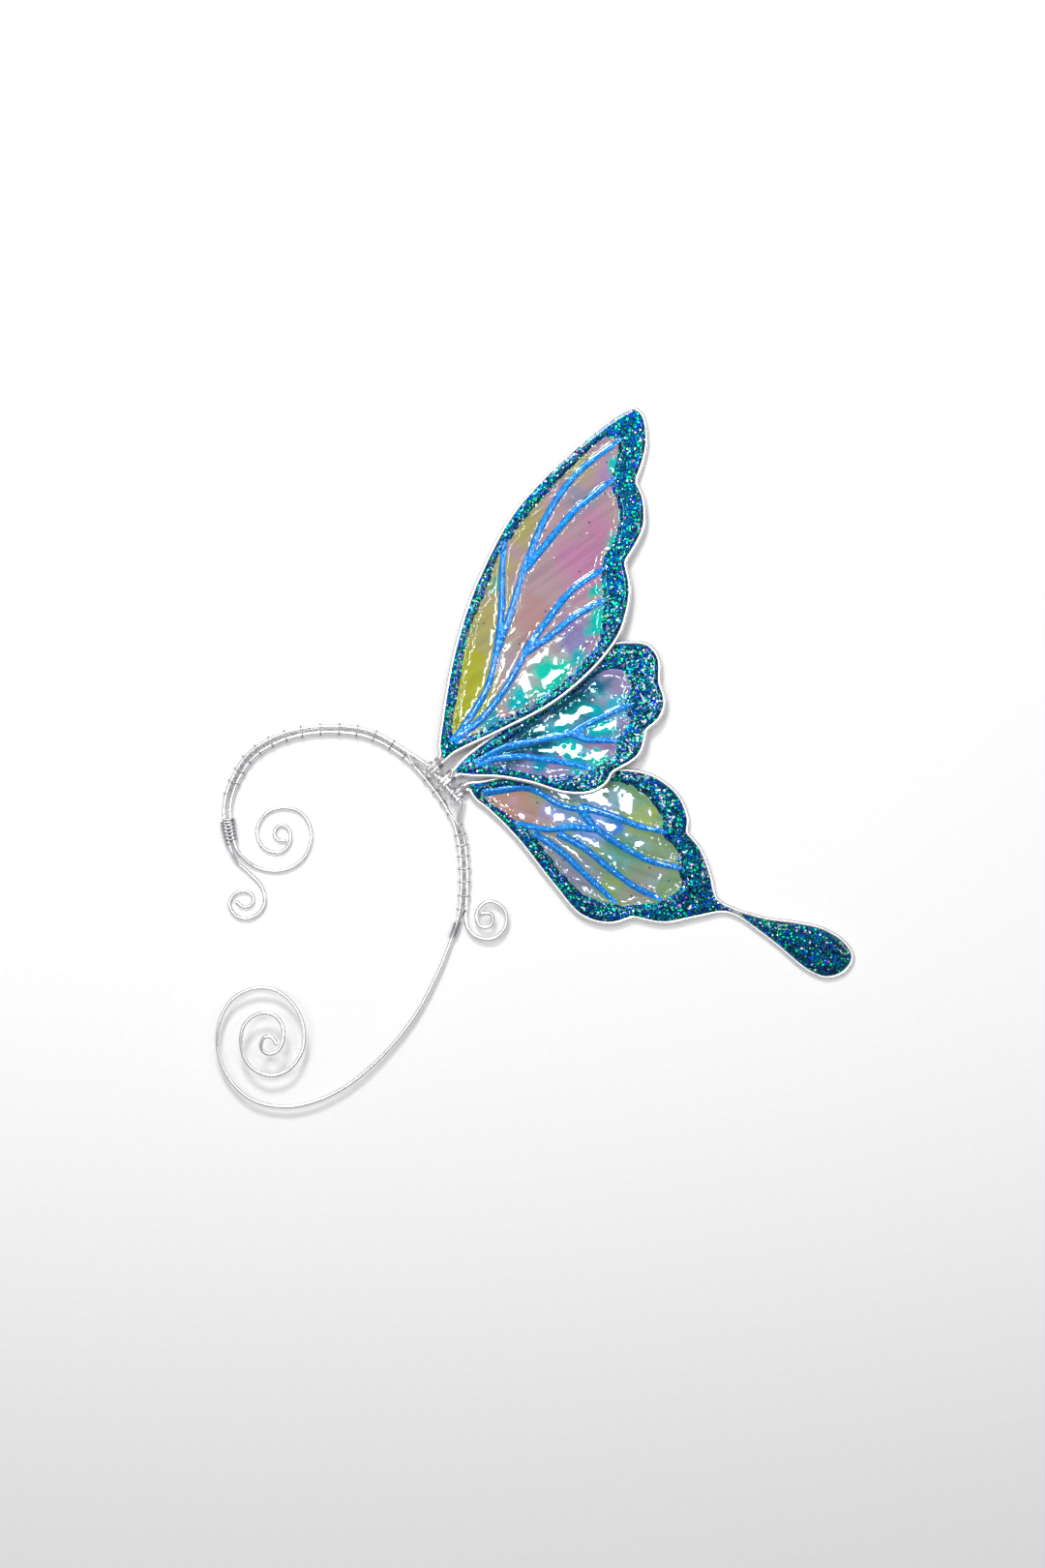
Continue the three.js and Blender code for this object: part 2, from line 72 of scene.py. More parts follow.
RESIN_INSET = 0.24  # from the middle of the frame wire
WAIST = 38.1  # x at which the lower wing's panel ends and its tail begins

# ------------------------------------------------------------------ fineness of the meshes

WIRE_STEP = 0.35
WIRE_SIDES = 14
WRAP_SIDES = 8
BAND_SIDES = 10
WRAP_STEPS = 26  # in one turn
COIL_STEPS = 28
WINDOW_STEP = 0.3
VEIN_STEP = 0.4
RESIN_GRID = 0.3
FILM_GRID = 1.4
CHUNK = 2000  # points compared with a line at one time
BEND_KEPT = 0.4  # straight stretch kept next to a bend of the outer wire

# ------------------------------------------------------------------ routes of the cuff's wires

UPPER_SPIRAL = [
    (-46.7, -15.1), (-48.2, -15), (-48.9, -13.6), (-47.5, -12), (-45.9, -13), (-45.9, -15.8),
    (-47.8, -17.3), (-50.8, -16.4), (-52, -13.4), (-50.3, -10), (-46.7, -8.9), (-43.3, -10.2),
    (-41.8, -14.1), (-43.3, -18.4), (-47, -20.6), (-51.7, -20.2),
]
ARCH = [
    (-55.4, -17.2), (-56.8, -11.7), (-56.8, -7.9), (-55.4, -3.8), (-53, 0), (-48.9, 2.9),
    (-43.6, 4.6), (-37.1, 5.1), (-31.1, 4.2), (-25.4, 1.1), (-21.9, -2.1),
]
ROOT = [(-19.8, -4.6), (-18.1, -6.8), (-16.7, -9)]
EAR_BACK = [
    (-15.4, -11.6), (-14.6, -14.4), (-14.1, -17.7), (-13.9, -21.6), (-14, -25.9), (-14.6, -30.1),
]
LOBE_SWEEP = [
    (-15.7, -33.3), (-18.2, -39.6), (-22.9, -48.2), (-29.3, -55.8), (-35.6, -60.9), (-42, -63.8),
]
LOBE_SPIRAL = [
    (-47.7, -64.5), (-53.1, -63), (-57.2, -59), (-59.1, -53.9), (-58.8, -48.8), (-56.3, -44.4),
    (-52.1, -42.4), (-48.3, -42.8), (-44.8, -45.7), (-43.1, -49.8), (-43.4, -54.2), (-46.1, -57.7),
    (-49.6, -58.6), (-53.1, -56.8), (-54.7, -53), (-53.9, -48.8), (-50.9, -46.9), (-49, -47.1),
    (-47.4, -48.3), (-46.7, -50.9), (-47.5, -53.7), (-48.8, -54.5), (-49.9, -54.5), (-50.8, -53.8),
    (-51, -52.8), (-50.7, -51.7), (-50, -51.1), (-49, -51.2), (-48.3, -51.8), (-48, -52.6),
]
SMALL_CURL = [
    (-55.8, -26.4), (-54.4, -27.6), (-52.6, -26.7), (-53.1, -24.7), (-55.8, -24.7), (-57.2, -26.8),
    (-55.8, -29.2), (-53, -29.5), (-50.6, -27.3), (-50.9, -23.9), (-53.3, -21.2), (-55.6, -19.2),
]
LOWER_CURL = [
    (-13.1, -29.3), (-12.7, -31.2), (-11.6, -32.7), (-8.1, -33.4), (-5.6, -31), (-5.8, -27.9),
    (-8.6, -26.2), (-11, -28.2), (-10.5, -31), (-8.2, -30.9), (-8.2, -28.5), (-10.1, -28.6),
]
FLOOR_LEVEL = 0.43
BOUND_LEVEL = 1.0
ARCH_LEVEL = 0.95
ROOT_LEVEL = 0.85
LOBE_LEVEL = 2.0
LOBE_TOP = 5.6
CURL_LEVEL = 2.0
ARCH_LIFTS = [0, 0, 0, 0, 0, 0, 0, 0, 0, 0.45]
BACK_LIFTS = [0.5, 0.1, 0, 0, 0]

# ------------------------------------------------------------------ wings
# plane: height at the origin and slopes along x and y. Stretches of an outline meet in a sharp bend.

UPPER = {
    "name": "upper",
    "coil_at": 1.95,
    "side": 1,
    "plane": (3.66, 0.0372, -0.06),
    "outline": [
        [(-17.9, 2.2), (-17.3, 7.6), (-15.5, 18.4), (-12.6, 28.6), (-9.9, 35.3), (-4.6, 45.2),
         (2, 52.9), (10.2, 60.3), (15.7, 64.4), (18.2, 65.4), (19.8, 64.3), (20.6, 59.6),
         (19.8, 55.3), (18.5, 51.8)],
        [(19.8, 49), (20.1, 43.8), (18.7, 40.3), (16.5, 36.8)],
        [(17.4, 31.5), (15.8, 24.2), (12.8, 19.5), (8, 14.5), (2.1, 10), (-7.2, 5.2), (-15.4, 1.2)],
    ],
    "window": [
        (-15.3, 4.6), (-13.9, 15.3), (-12.6, 23.4), (-9.2, 31.7), (-6.7, 38.2), (-2.5, 44.1),
        (3.1, 50.7), (9.4, 57.1), (13.5, 60.1), (15.1, 59.2), (15, 55.8), (13.9, 51.5), (15.4, 47.2),
        (14.9, 41.8), (12.3, 36.5), (12.4, 31.5), (12.1, 23.4), (10.4, 20.2), (3.4, 13.1),
        (-6.1, 7.6), (-13, 4.2),
    ],
    "veins": {
        "upper_veins": [
            [(-15.3, 3.4), (-11.5, 9), (-8.8, 14), (-6.8, 23)],
            [(-7.1, 21.2), (-6.3, 29.2), (-6.3, 35.1), (-5.9, 39.4)],
            [(-7.4, 19.8), (-4.9, 26.6), (-3.1, 32.6), (-2, 36.2)],
            [(-2.3, 34.7), (1.1, 43.7), (5.2, 50.4), (9.4, 54.9), (14.9, 59)],
            [(-2.7, 34.6), (2.2, 40.5), (7.2, 46.3), (13.9, 51.8)],
            [(-15.3, 3.4), (-10.1, 7.6), (-5.2, 14), (-0.9, 22)],
            [(-1.8, 20.3), (2.3, 26.1), (6.5, 31.3), (11.9, 35.1)],
            [(-2.2, 19.8), (2.3, 22.7), (7, 26.5), (11.9, 29.3)],
        ],
    },
}
MIDDLE = {
    "name": "middle",
    "coil_at": 5.22,
    "side": 1,
    "plane": (2.3, 0.013, -0.0597),
    "outline": [
        [(-13.9, -0.3), (-8.8, 3.8), (0.2, 9.7), (8.3, 16.4), (14, 21.4), (17.3, 21.8),
         (20.7, 21.4), (22.7, 19.1), (22.9, 14.4)],
        [(23.9, 10.8), (22.7, 7.5), (20.4, 5.6)],
        [(20, 3.3), (18.8, 0.6), (14.1, -2.3)],
        [(12.8, -4.5), (10, -6), (5.3, -6), (-0.6, -4.2), (-6.7, -3.1), (-12.4, -2.9)],
    ],
    "window": [
        (-10.9, -0.6), (-4.3, 4.1), (4.7, 10.4), (13.3, 16.7), (16.4, 16.4), (17.6, 13.9),
        (16.5, 9.9), (17.4, 7), (15, 4.1), (14.7, 1.1), (9.5, -2.2), (1.4, -3.1), (-7, -1.2),
    ],
    "veins": {
        "middle_veins": [
            [(-11.1, -0.6), (-5.6, 2.3), (0.5, 3.6), (7.4, 5)],
            [(5.9, 4.5), (9.5, 6.7), (13.7, 8.6), (16.7, 9.9)],
            [(6.1, 5), (9.5, 3.8), (14, 3.6)],
            [(-11.1, -0.6), (-4, 0.6), (2, 0), (9.7, -1.4)],
        ],
    },
}
LOWER = {
    "name": "lower",
    "coil_at": 8.47,
    "side": -1,
    "plane": (1.05, -0.0165, -0.01),
    "outline": [
        [(-10.6, -4.2), (-3.4, -2.7), (8.3, -2.2), (16.4, -1.9), (22, -3.1), (26.6, -6.8),
         (28.3, -11.2), (28, -13.5)],
        [(30.4, -16.3), (32.4, -21.1), (33.8, -26), (37.9, -28.2)],
        [(42.7, -29.5), (48.5, -30.3), (53.6, -31.5), (57.6, -34.1), (59, -36.9), (57.3, -39.6),
         (54, -40.5), (50.5, -39.1), (44.7, -34.3), (38.2, -29.4)],
        [(35.2, -28.3), (29.9, -29.2), (23.8, -30.3), (18.1, -29.2)],
        [(13.8, -30.4), (8.5, -28.9), (3.3, -23.1), (-3.6, -14.4), (-8.8, -9.2), (-11.4, -7.1)],
    ],
    "window": [
        (-10.2, -6.3), (1.1, -4.5), (16.2, -4.3), (20.7, -7), (23.4, -10.8), (23.6, -13.7),
        (26.3, -17.1), (26.6, -20.5), (27.1, -23.2), (24.1, -25.9), (19.6, -27), (12.8, -26.5),
        (8.9, -25), (4.7, -20.9), (-0.7, -13.7), (-5.6, -9.9),
    ],
    "veins": {
        "lower_vein_tree": [
            [(-9.9, -6.2), (-1.1, -5.4), (4.7, -8.5), (9.9, -9.5)],
            [(8.3, -8.6), (14.4, -10.5), (19.3, -12.4), (23.3, -13.3)],
            [(7.9, -8.8), (11, -12.6), (15.8, -16), (21.4, -18.9), (26.1, -20)],
            [(11.2, -13), (6.5, -12.6), (2, -13), (-2.9, -11.9)],
        ],
        "lower_vein_inner": [[(-0.4, -13.6), (4.4, -16.9), (8.9, -21.1), (14.1, -25.9)]],
        "lower_vein_outer": [[(4, -13.6), (8.9, -16.4), (13.7, -20.2), (18.5, -23.7), (22.5, -25.6)]],
    },
}

# ------------------------------------------------------------------ curves


def bend(points, closed=False):
    """Centripetal curve through some points, as a function of the point's number."""
    pts = np.asarray(points, float)
    n = len(pts)

    def at(index):
        spans = n if closed else n - 1
        i = min(int(index), spans - 1) if not closed else int(index) % n
        u = index - i if not closed else index - int(index)
        p1, p2 = pts[i], pts[(i + 1) % n]
        before = pts[i - 1] if closed or i > 0 else 2 * pts[0] - pts[1]
        after = pts[(i + 2) % n] if closed or i + 2 < n else 2 * pts[-1] - pts[-2]
        d0 = max(np.linalg.norm(p1 - before) ** 0.5, 1e-4)
        d1 = max(np.linalg.norm(p2 - p1) ** 0.5, 1e-4)
        d2 = max(np.linalg.norm(after - p2) ** 0.5, 1e-4)
        t1 = ((p1 - before) / d0 - (p2 - before) / (d0 + d1) + (p2 - p1) / d1) * d1
        t2 = ((p2 - p1) / d1 - (after - p1) / (d1 + d2) + (after - p2) / d2) * d1
        c2 = -3 * p1 + 3 * p2 - 2 * t1 - t2
        c3 = 2 * p1 - 2 * p2 + t1 + t2
        return p1 + t1 * u + c2 * u * u + c3 * u**3

    at.count = n
    return at


def fine(points, step=WIRE_STEP, closed=False):
    """Points along a curve through some points, about one step apart."""
    pts = np.asarray(points, float)
    curve = bend(pts, closed)
    spans = len(pts) if closed else len(pts) - 1
    out = []
    for i in range(spans):
        chord = np.linalg.norm(pts[(i + 1) % len(pts)] - pts[i])
        count = max(1, round(chord / step))
        out += [curve(i + k / count) for k in range(count)]
    if not closed:
        out.append(pts[-1])
    return np.array(out)


def along_stretches(stretches):
    """Stretches joined end to start, so that a sharp bend stays where two of them meet."""
    out = []
    for i, stretch in enumerate(stretches):
        joined = stretch if i == 0 else [out.pop(), *stretch]
        out += list(fine(joined))
    return np.array(out)


def raised(route, z_start, z_end=None):
    """A flat route, raised evenly from one height to another."""
    z_end = z_start if z_end is None else z_end
    heights = np.linspace(z_start, z_end, len(route))
    return [np.array([x, y, z]) for (x, y), z in zip(route, heights)]


def smooth_step(x):
    x = np.clip(x, 0, 1)
    return x * x * (3 - 2 * x)


def unit(v):
    return v / np.linalg.norm(v)


def ease(path, passes=6):
    """Evens out small kinks in a path, ends kept."""
    path = np.array(path)
    for _ in range(passes):
        path[1:-1] = path[1:-1] * 0.5 + (path[:-2] + path[2:]) * 0.25
    return path


# ------------------------------------------------------------------ meshes

CAP_ANGLES = np.radians([75, 50, 25])
CAP_DEPTH = 0.6  # of the wire's radius


def add_mesh(name, vertices, faces, material):
    """A mesh object in the row frame, from vertices in millimetres before the origin's shift."""
    mesh = bpy.data.meshes.new(name)
    mesh.from_pydata(((np.asarray(vertices) + SHIFT) * MM).tolist(), [], faces)
    mesh.update()
    mesh.polygons.foreach_set("use_smooth", [True] * len(mesh.polygons))
    mesh.materials.append(material)
    obj = bpy.data.objects.new(name, mesh)
    bpy.context.scene.collection.objects.link(obj)
    return obj


def sweep(name, path, diameter, material, sides=WIRE_SIDES):
    """A round wire along a path, with rounded ends."""
    path = np.asarray(path, float)
    tangents = np.gradient(path, axis=0)
    tangents /= np.linalg.norm(tangents, axis=1)[:, None]
    radius = diameter / 2

    def cap(end, angle, outwards):
        tangent = tangents[end]
        centre = path[end] + outwards * tangent * radius * CAP_DEPTH * math.sin(angle)
        return centre, radius * math.cos(angle), tangent

    rings = [cap(0, a, -1) for a in CAP_ANGLES]
    rings += [(p, radius, t) for p, t in zip(path, tangents)]
    rings += [cap(-1, a, 1) for a in CAP_ANGLES[::-1]]
    side = unit(np.cross(tangents[0], [0.3, 0.2, 1.0]))
    angles = np.linspace(0, 2 * math.pi, sides, endpoint=False)
    vertices = []
    for centre, r, tangent in rings:
        side = unit(side - tangent * side.dot(tangent))
        other = np.cross(tangent, side)
        vertices += [centre + r * (math.cos(a) * side + math.sin(a) * other) for a in angles]
    faces = []
    for k in range(len(rings) - 1):
        for s in range(sides):
            a, b = k * sides + s, k * sides + (s + 1) % sides
            faces.append((a, b, b + sides, a + sides))
    last = (len(rings) - 1) * sides
    faces.append(tuple(range(sides - 1, -1, -1)))
    faces.append(tuple(range(last, last + sides)))
    return add_mesh(name, vertices, faces, material)


# ------------------------------------------------------------------ node materials


def new_material(name):
    material = bpy.data.materials.new(name)
    material.use_nodes = True
    nodes = material.node_tree.nodes
    return material, nodes, material.node_tree.links, nodes["Principled BSDF"]


def node(nodes, kind, **values):
    made = nodes.new(kind)
    for key, value in values.items():
        if key in made.inputs:
            made.inputs[key].default_value = value
        else:
            setattr(made, key, value)
    return made


def ramp(nodes, stops, interpolation="LINEAR"):
    made = nodes.new("ShaderNodeValToRGB")
    made.color_ramp.interpolation = interpolation
    elements = made.color_ramp.elements
    while len(elements) < len(stops):
        elements.new(0.5)
    for element, (place, colour) in zip(elements, stops):
        element.position = place
        element.color = (*colour, 1)
    return made


def mixed(nodes, links, factor, first, second, blend="MIX"):
    """Colour output of a mix of two colours, each a socket or a plain colour."""
    made = node(nodes, "ShaderNodeMix", data_type="RGBA", blend_type=blend)
    for socket, value in ((0, factor), (6, first), (7, second)):
        if isinstance(value, bpy.types.NodeSocket):
            links.new(value, made.inputs[socket])
        elif socket:
            made.inputs[socket].default_value = (*value, 1)
        else:
            made.inputs[socket].default_value = value
    return made.outputs[2]


def shine(bsdf, **values):
    for key, value in values.items():
        bsdf.inputs[key.replace("_", " ")].default_value = value


def silver_material(name, base, roughness, streak):
    """Bright drawn wire: faint lengthwise streaks and small dull spots."""
    material, nodes, links, bsdf = new_material(name)
    shine(bsdf, Metallic=1.0, Roughness=roughness)
    coords = nodes.new("ShaderNodeTexCoord")
    spots = node(nodes, "ShaderNodeTexNoise", Scale=260.0, Detail=4.0, Roughness=0.6)
    links.new(coords.outputs["Object"], spots.inputs["Vector"])
    tint = ramp(nodes, [(0.3, tuple(c * 0.86 for c in base)), (0.62, base)])
    links.new(spots.outputs["Fac"], tint.inputs["Fac"])
    links.new(tint.outputs["Color"], bsdf.inputs["Base Color"])
    dull = node(nodes, "ShaderNodeMapRange", **{"From Min": 0.3, "From Max": 0.7})
    dull.inputs["To Min"].default_value = roughness * 1.7
    dull.inputs["To Max"].default_value = roughness * 0.8
    links.new(spots.outputs["Fac"], dull.inputs["Value"])
    links.new(dull.outputs["Result"], bsdf.inputs["Roughness"])
    fine_marks = node(nodes, "ShaderNodeTexNoise", Scale=streak, Detail=3.0)
    links.new(coords.outputs["Object"], fine_marks.inputs["Vector"])
    bump = node(nodes, "ShaderNodeBump", Strength=0.12, Distance=0.00003)
    links.new(fine_marks.outputs["Fac"], bump.inputs["Height"])
    links.new(bump.outputs["Normal"], bsdf.inputs["Normal"])
    return material


def voronoi(nodes, links, coords, scale):
    """Cells of one size: the node and its random colour, split in three."""
    cells = node(nodes, "ShaderNodeTexVoronoi", Scale=scale)
    links.new(coords.outputs["Object"], cells.inputs["Vector"])
    pick = nodes.new("ShaderNodeSeparateColor")
    links.new(cells.outputs["Color"], pick.inputs["Color"])
    return cells, pick


def round_flakes(nodes, links, coords, scale, size, share, colours, under):
    """Round flakes in a share of the cells, laid over a colour."""
    cells, pick = voronoi(nodes, links, coords, scale)
    near = node(nodes, "ShaderNodeMath", operation="LESS_THAN")
    near.inputs[1].default_value = size
    links.new(cells.outputs["Distance"], near.inputs[0])
    some = node(nodes, "ShaderNodeMath", operation="LESS_THAN")
    some.inputs[1].default_value = share
    links.new(pick.outputs["Red"], some.inputs[0])
    both = node(nodes, "ShaderNodeMath", operation="MULTIPLY")
    links.new(near.outputs[0], both.inputs[0])
    links.new(some.outputs[0], both.inputs[1])
    flake = ramp(nodes, colours, "CONSTANT")
    links.new(pick.outputs["Green"], flake.inputs["Fac"])
    return mixed(nodes, links, both.outputs[0], under, flake.outputs["Color"])


def glitter_material():
    """Dark teal resin packed with small bright flakes that lie at all angles."""
    material, nodes, links, bsdf = new_material("glitter_resin")
    shine(bsdf, Metallic=0.85, Roughness=0.32, IOR=1.15)
    shine(bsdf, Coat_Weight=1.0, Coat_Roughness=0.03, Coat_IOR=1.29)
    coords = nodes.new("ShaderNodeTexCoord")
    cells, pick = voronoi(nodes, links, coords, 4200.0)
    ground = ramp(nodes, [
        (0.0, (0.0, 0.006, 0.026)), (0.25, (0.0, 0.024, 0.07)), (0.5, (0.0, 0.05, 0.115)),
        (0.72, (0.0, 0.09, 0.145)), (0.88, (0.0, 0.18, 0.20)), (0.96, (0.0, 0.02, 0.42)),
    ], "CONSTANT")
    links.new(pick.outputs["Red"], ground.inputs["Fac"])
    small = [
        (0.0, (0.0, 0.26, 0.30)), (0.35, (0.0, 0.42, 0.08)), (0.6, (0.0, 0.04, 0.70)),
        (0.93, (0.7, 0.95, 1.0)),
    ]
    large = [
        (0.0, (0.0, 0.80, 0.14)), (0.40, (0.0, 0.02, 1.0)), (0.66, (0.0, 0.7, 0.5)),
        (0.86, (0.9, 1.0, 1.0)), (0.96, (0.6, 0.06, 0.4)),
    ]
    colour = round_flakes(nodes, links, coords, 3600.0, 0.44, 0.36, small, ground.outputs["Color"])
    colour = round_flakes(nodes, links, coords, 2000.0, 0.40, 0.38, large, colour)
    depth = node(nodes, "ShaderNodeTexNoise", Scale=420.0, Detail=2.0)
    links.new(coords.outputs["Object"], depth.inputs["Vector"])
    shade = ramp(nodes, [(0.3, (0.55, 0.6, 0.7)), (0.65, (1.2, 1.2, 1.2))])
    links.new(depth.outputs["Fac"], shade.inputs["Fac"])
    colour = mixed(nodes, links, 1.0, colour, shade.outputs["Color"], "MULTIPLY")
    links.new(colour, bsdf.inputs["Base Color"])
    tilt_flakes(nodes, links, cells, bsdf, 0.42)
    return material


def tilt_flakes(nodes, links, flakes, bsdf, amount):
    """Turns each cell's normal by its own random colour, so flakes glint one by one."""
    geometry = nodes.new("ShaderNodeNewGeometry")
    centre = node(nodes, "ShaderNodeVectorMath", operation="SUBTRACT")
    centre.inputs[1].default_value = (0.5, 0.5, 0.5)
    scale = node(nodes, "ShaderNodeVectorMath", operation="SCALE", Scale=amount)
    add = node(nodes, "ShaderNodeVectorMath", operation="ADD")
    level = node(nodes, "ShaderNodeVectorMath", operation="NORMALIZE")
    links.new(flakes.outputs["Color"], centre.inputs[0])
    links.new(centre.outputs[0], scale.inputs[0])
    links.new(geometry.outputs["Normal"], add.inputs[0])
    links.new(scale.outputs[0], add.inputs[1])
    links.new(add.outputs[0], level.inputs[0])
    links.new(level.outputs[0], bsdf.inputs["Normal"])


def vein_material():
    """Azure pearl paint with a fine metallic speckle, under clear resin."""
    material, nodes, links, bsdf = new_material("vein_resin")
    shine(bsdf, Metallic=0.45, Roughness=0.42, IOR=1.2)
    shine(bsdf, Coat_Weight=1.0, Coat_Roughness=0.02, Coat_IOR=1.42)
    coords = nodes.new("ShaderNodeTexCoord")
    _, pick = voronoi(nodes, links, coords, 7000.0)
    colours = ramp(nodes, [
        (0.0, (0.0, 0.06, 0.34)), (0.3, (0.0, 0.12, 0.50)), (0.7, (0.0, 0.18, 0.60)),
        (0.93, (0.01, 0.42, 0.90)),
    ])
    links.new(pick.outputs["Green"], colours.inputs["Fac"])
    links.new(colours.outputs["Color"], bsdf.inputs["Base Color"])
    return material


def wavering_place(nodes, links, coords):
    """The place on the film, moved about by a cloud, so that patches have soft uneven edges."""
    cloud = node(nodes, "ShaderNodeTexNoise", Scale=150.0, Detail=3.0, Roughness=0.55)
    links.new(coords.outputs["Object"], cloud.inputs["Vector"])
    centred = node(nodes, "ShaderNodeVectorMath", operation="SUBTRACT")
    centred.inputs[1].default_value = (0.5, 0.5, 0.5)
    links.new(cloud.outputs["Color"], centred.inputs[0])
    warp = node(nodes, "ShaderNodeVectorMath", operation="MULTIPLY_ADD")
    warp.inputs[1].default_value = (0.011, 0.011, 0.0)
    links.new(centred.outputs[0], warp.inputs[0])
    links.new(coords.outputs["Object"], warp.inputs[2])
    flat = node(nodes, "ShaderNodeVectorMath", operation="MULTIPLY")
    flat.inputs[1].default_value = (1, 1, 0)
    links.new(warp.outputs[0], flat.inputs[0])
    return flat.outputs[0]


def painted(nodes, links, place, base, patches):
    """The main colour with round patches laid over it, each fading out from its middle."""
    colour = base
    for x, y, radius, shade, strength in patches:
        gap = node(nodes, "ShaderNodeVectorMath", operation="DISTANCE")
        gap.inputs[1].default_value = (x * MM, y * MM, 0)
        links.new(place, gap.inputs[0])
        fade = node(nodes, "ShaderNodeMapRange", interpolation_type="SMOOTHSTEP")
        fade.inputs["From Min"].default_value = radius * MM * 0.25
        fade.inputs["From Max"].default_value = radius * MM
        fade.inputs["To Min"].default_value = strength
        fade.inputs["To Max"].default_value = 0.0
        links.new(gap.outputs["Value"], fade.inputs["Value"])
        colour = mixed(nodes, links, fade.outputs["Result"], colour, shade)
    return colour


def brushed(nodes, links, coords, angle):
    """Colour output of light and dark streaks that run at an angle."""
    turn = node(nodes, "ShaderNodeMapping", vector_type="TEXTURE")
    turn.inputs["Rotation"].default_value = (0, 0, angle)
    turn.inputs["Scale"].default_value = (0.022, 0.0016, 1)
    links.new(coords.outputs["Object"], turn.inputs["Vector"])
    streaks = node(nodes, "ShaderNodeTexNoise", Scale=1.0, Detail=4.0, Roughness=0.6)
    links.new(turn.outputs["Vector"], streaks.inputs["Vector"])
    brush = ramp(nodes, [(0.28, (0.72, 0.76, 0.82)), (0.5, (1, 1, 1)), (0.74, (1.16, 1.12, 1.16))])
    links.new(streaks.outputs["Fac"], brush.inputs["Fac"])
    return brush.outputs["Color"]


def film_material(name, base, patches, tint, streak_angle, coat=1.0):
    """Iridescent film under resin: patches of colour, streaks and stray flakes. Some patches are
    painted reflection halos and some painted shadow.
    """
    material, nodes, links, bsdf = new_material(name)
    shine(bsdf, Metallic=0.0, Roughness=0.1, IOR=1.3)
    shine(bsdf, Coat_Weight=coat, Coat_Roughness=0.015, Coat_IOR=1.42)
    bsdf.inputs["Specular Tint"].default_value = (*tint, 1)
    coords = nodes.new("ShaderNodeTexCoord")
    colour = painted(nodes, links, wavering_place(nodes, links, coords), base, patches)
    streaks = brushed(nodes, links, coords, streak_angle)
    colour = mixed(nodes, links, 1.0, colour, streaks, "MULTIPLY")
    rich = node(nodes, "ShaderNodeHueSaturation", Saturation=1.2, Value=0.82)
    links.new(colour, rich.inputs["Color"])
    stray = [
        (0.0, (0.0, 0.05, 0.10)), (0.5, (0.0, 0.32, 0.04)), (0.75, (0.0, 0.04, 0.3)),
        (0.9, (0.5, 0.8, 0.9)),
    ]
    colour = round_flakes(nodes, links, coords, 620.0, 0.11, 0.5, stray, rich.outputs["Color"])
    links.new(colour, bsdf.inputs["Base Color"])
    return material


# The films' colours, linear. The turquoise, jade, aqua, sky, powder and azure ones are painted
# reflection halos round the resin's highlights; the deep teal and dusk ones are painted shadow.
MAUVE = (0.48, 0.34, 0.38)
OLIVE = (0.46, 0.44, 0.09)
STRAW = (0.44, 0.40, 0.16)
SLATE = (0.30, 0.30, 0.39)
LILAC = (0.43, 0.30, 0.50)
LAVENDER = (0.36, 0.29, 0.48)
PINK = (0.60, 0.28, 0.46)
ROSE = (0.48, 0.29, 0.29)
PLUM = (0.40, 0.22, 0.40)
VIOLET = (0.30, 0.20, 0.46)
PAINTED_REFLECTION_TURQUOISE = (0.0, 0.55, 0.41)
PAINTED_REFLECTION_JADE = (0.0, 0.60, 0.48)
PAINTED_REFLECTION_AQUA = (0.01, 0.45, 0.50)
CERULEAN = (0.01, 0.33, 0.49)
PAINTED_SHADOW_TEAL = (0.0, 0.075, 0.135)
PAINTED_SHADOW_DUSK = (0.02, 0.12, 0.22)
PAINTED_REFLECTION_SKY = (0.10, 0.51, 0.68)
PAINTED_REFLECTION_POWDER = (0.34, 0.456, 0.78)
PAINTED_REFLECTION_AZURE = (0.14, 0.30, 0.74)
APRICOT = (0.50, 0.33, 0.26)
SEA_GREEN = (0.08, 0.33, 0.24)
SAGE = (0.26, 0.38, 0.22)
GRASS = (0.20, 0.39, 0.25)
LIME = (0.37, 0.48, 0.18)
MOSS = (0.29, 0.40, 0.18)
GREIGE = (0.33, 0.34, 0.28)

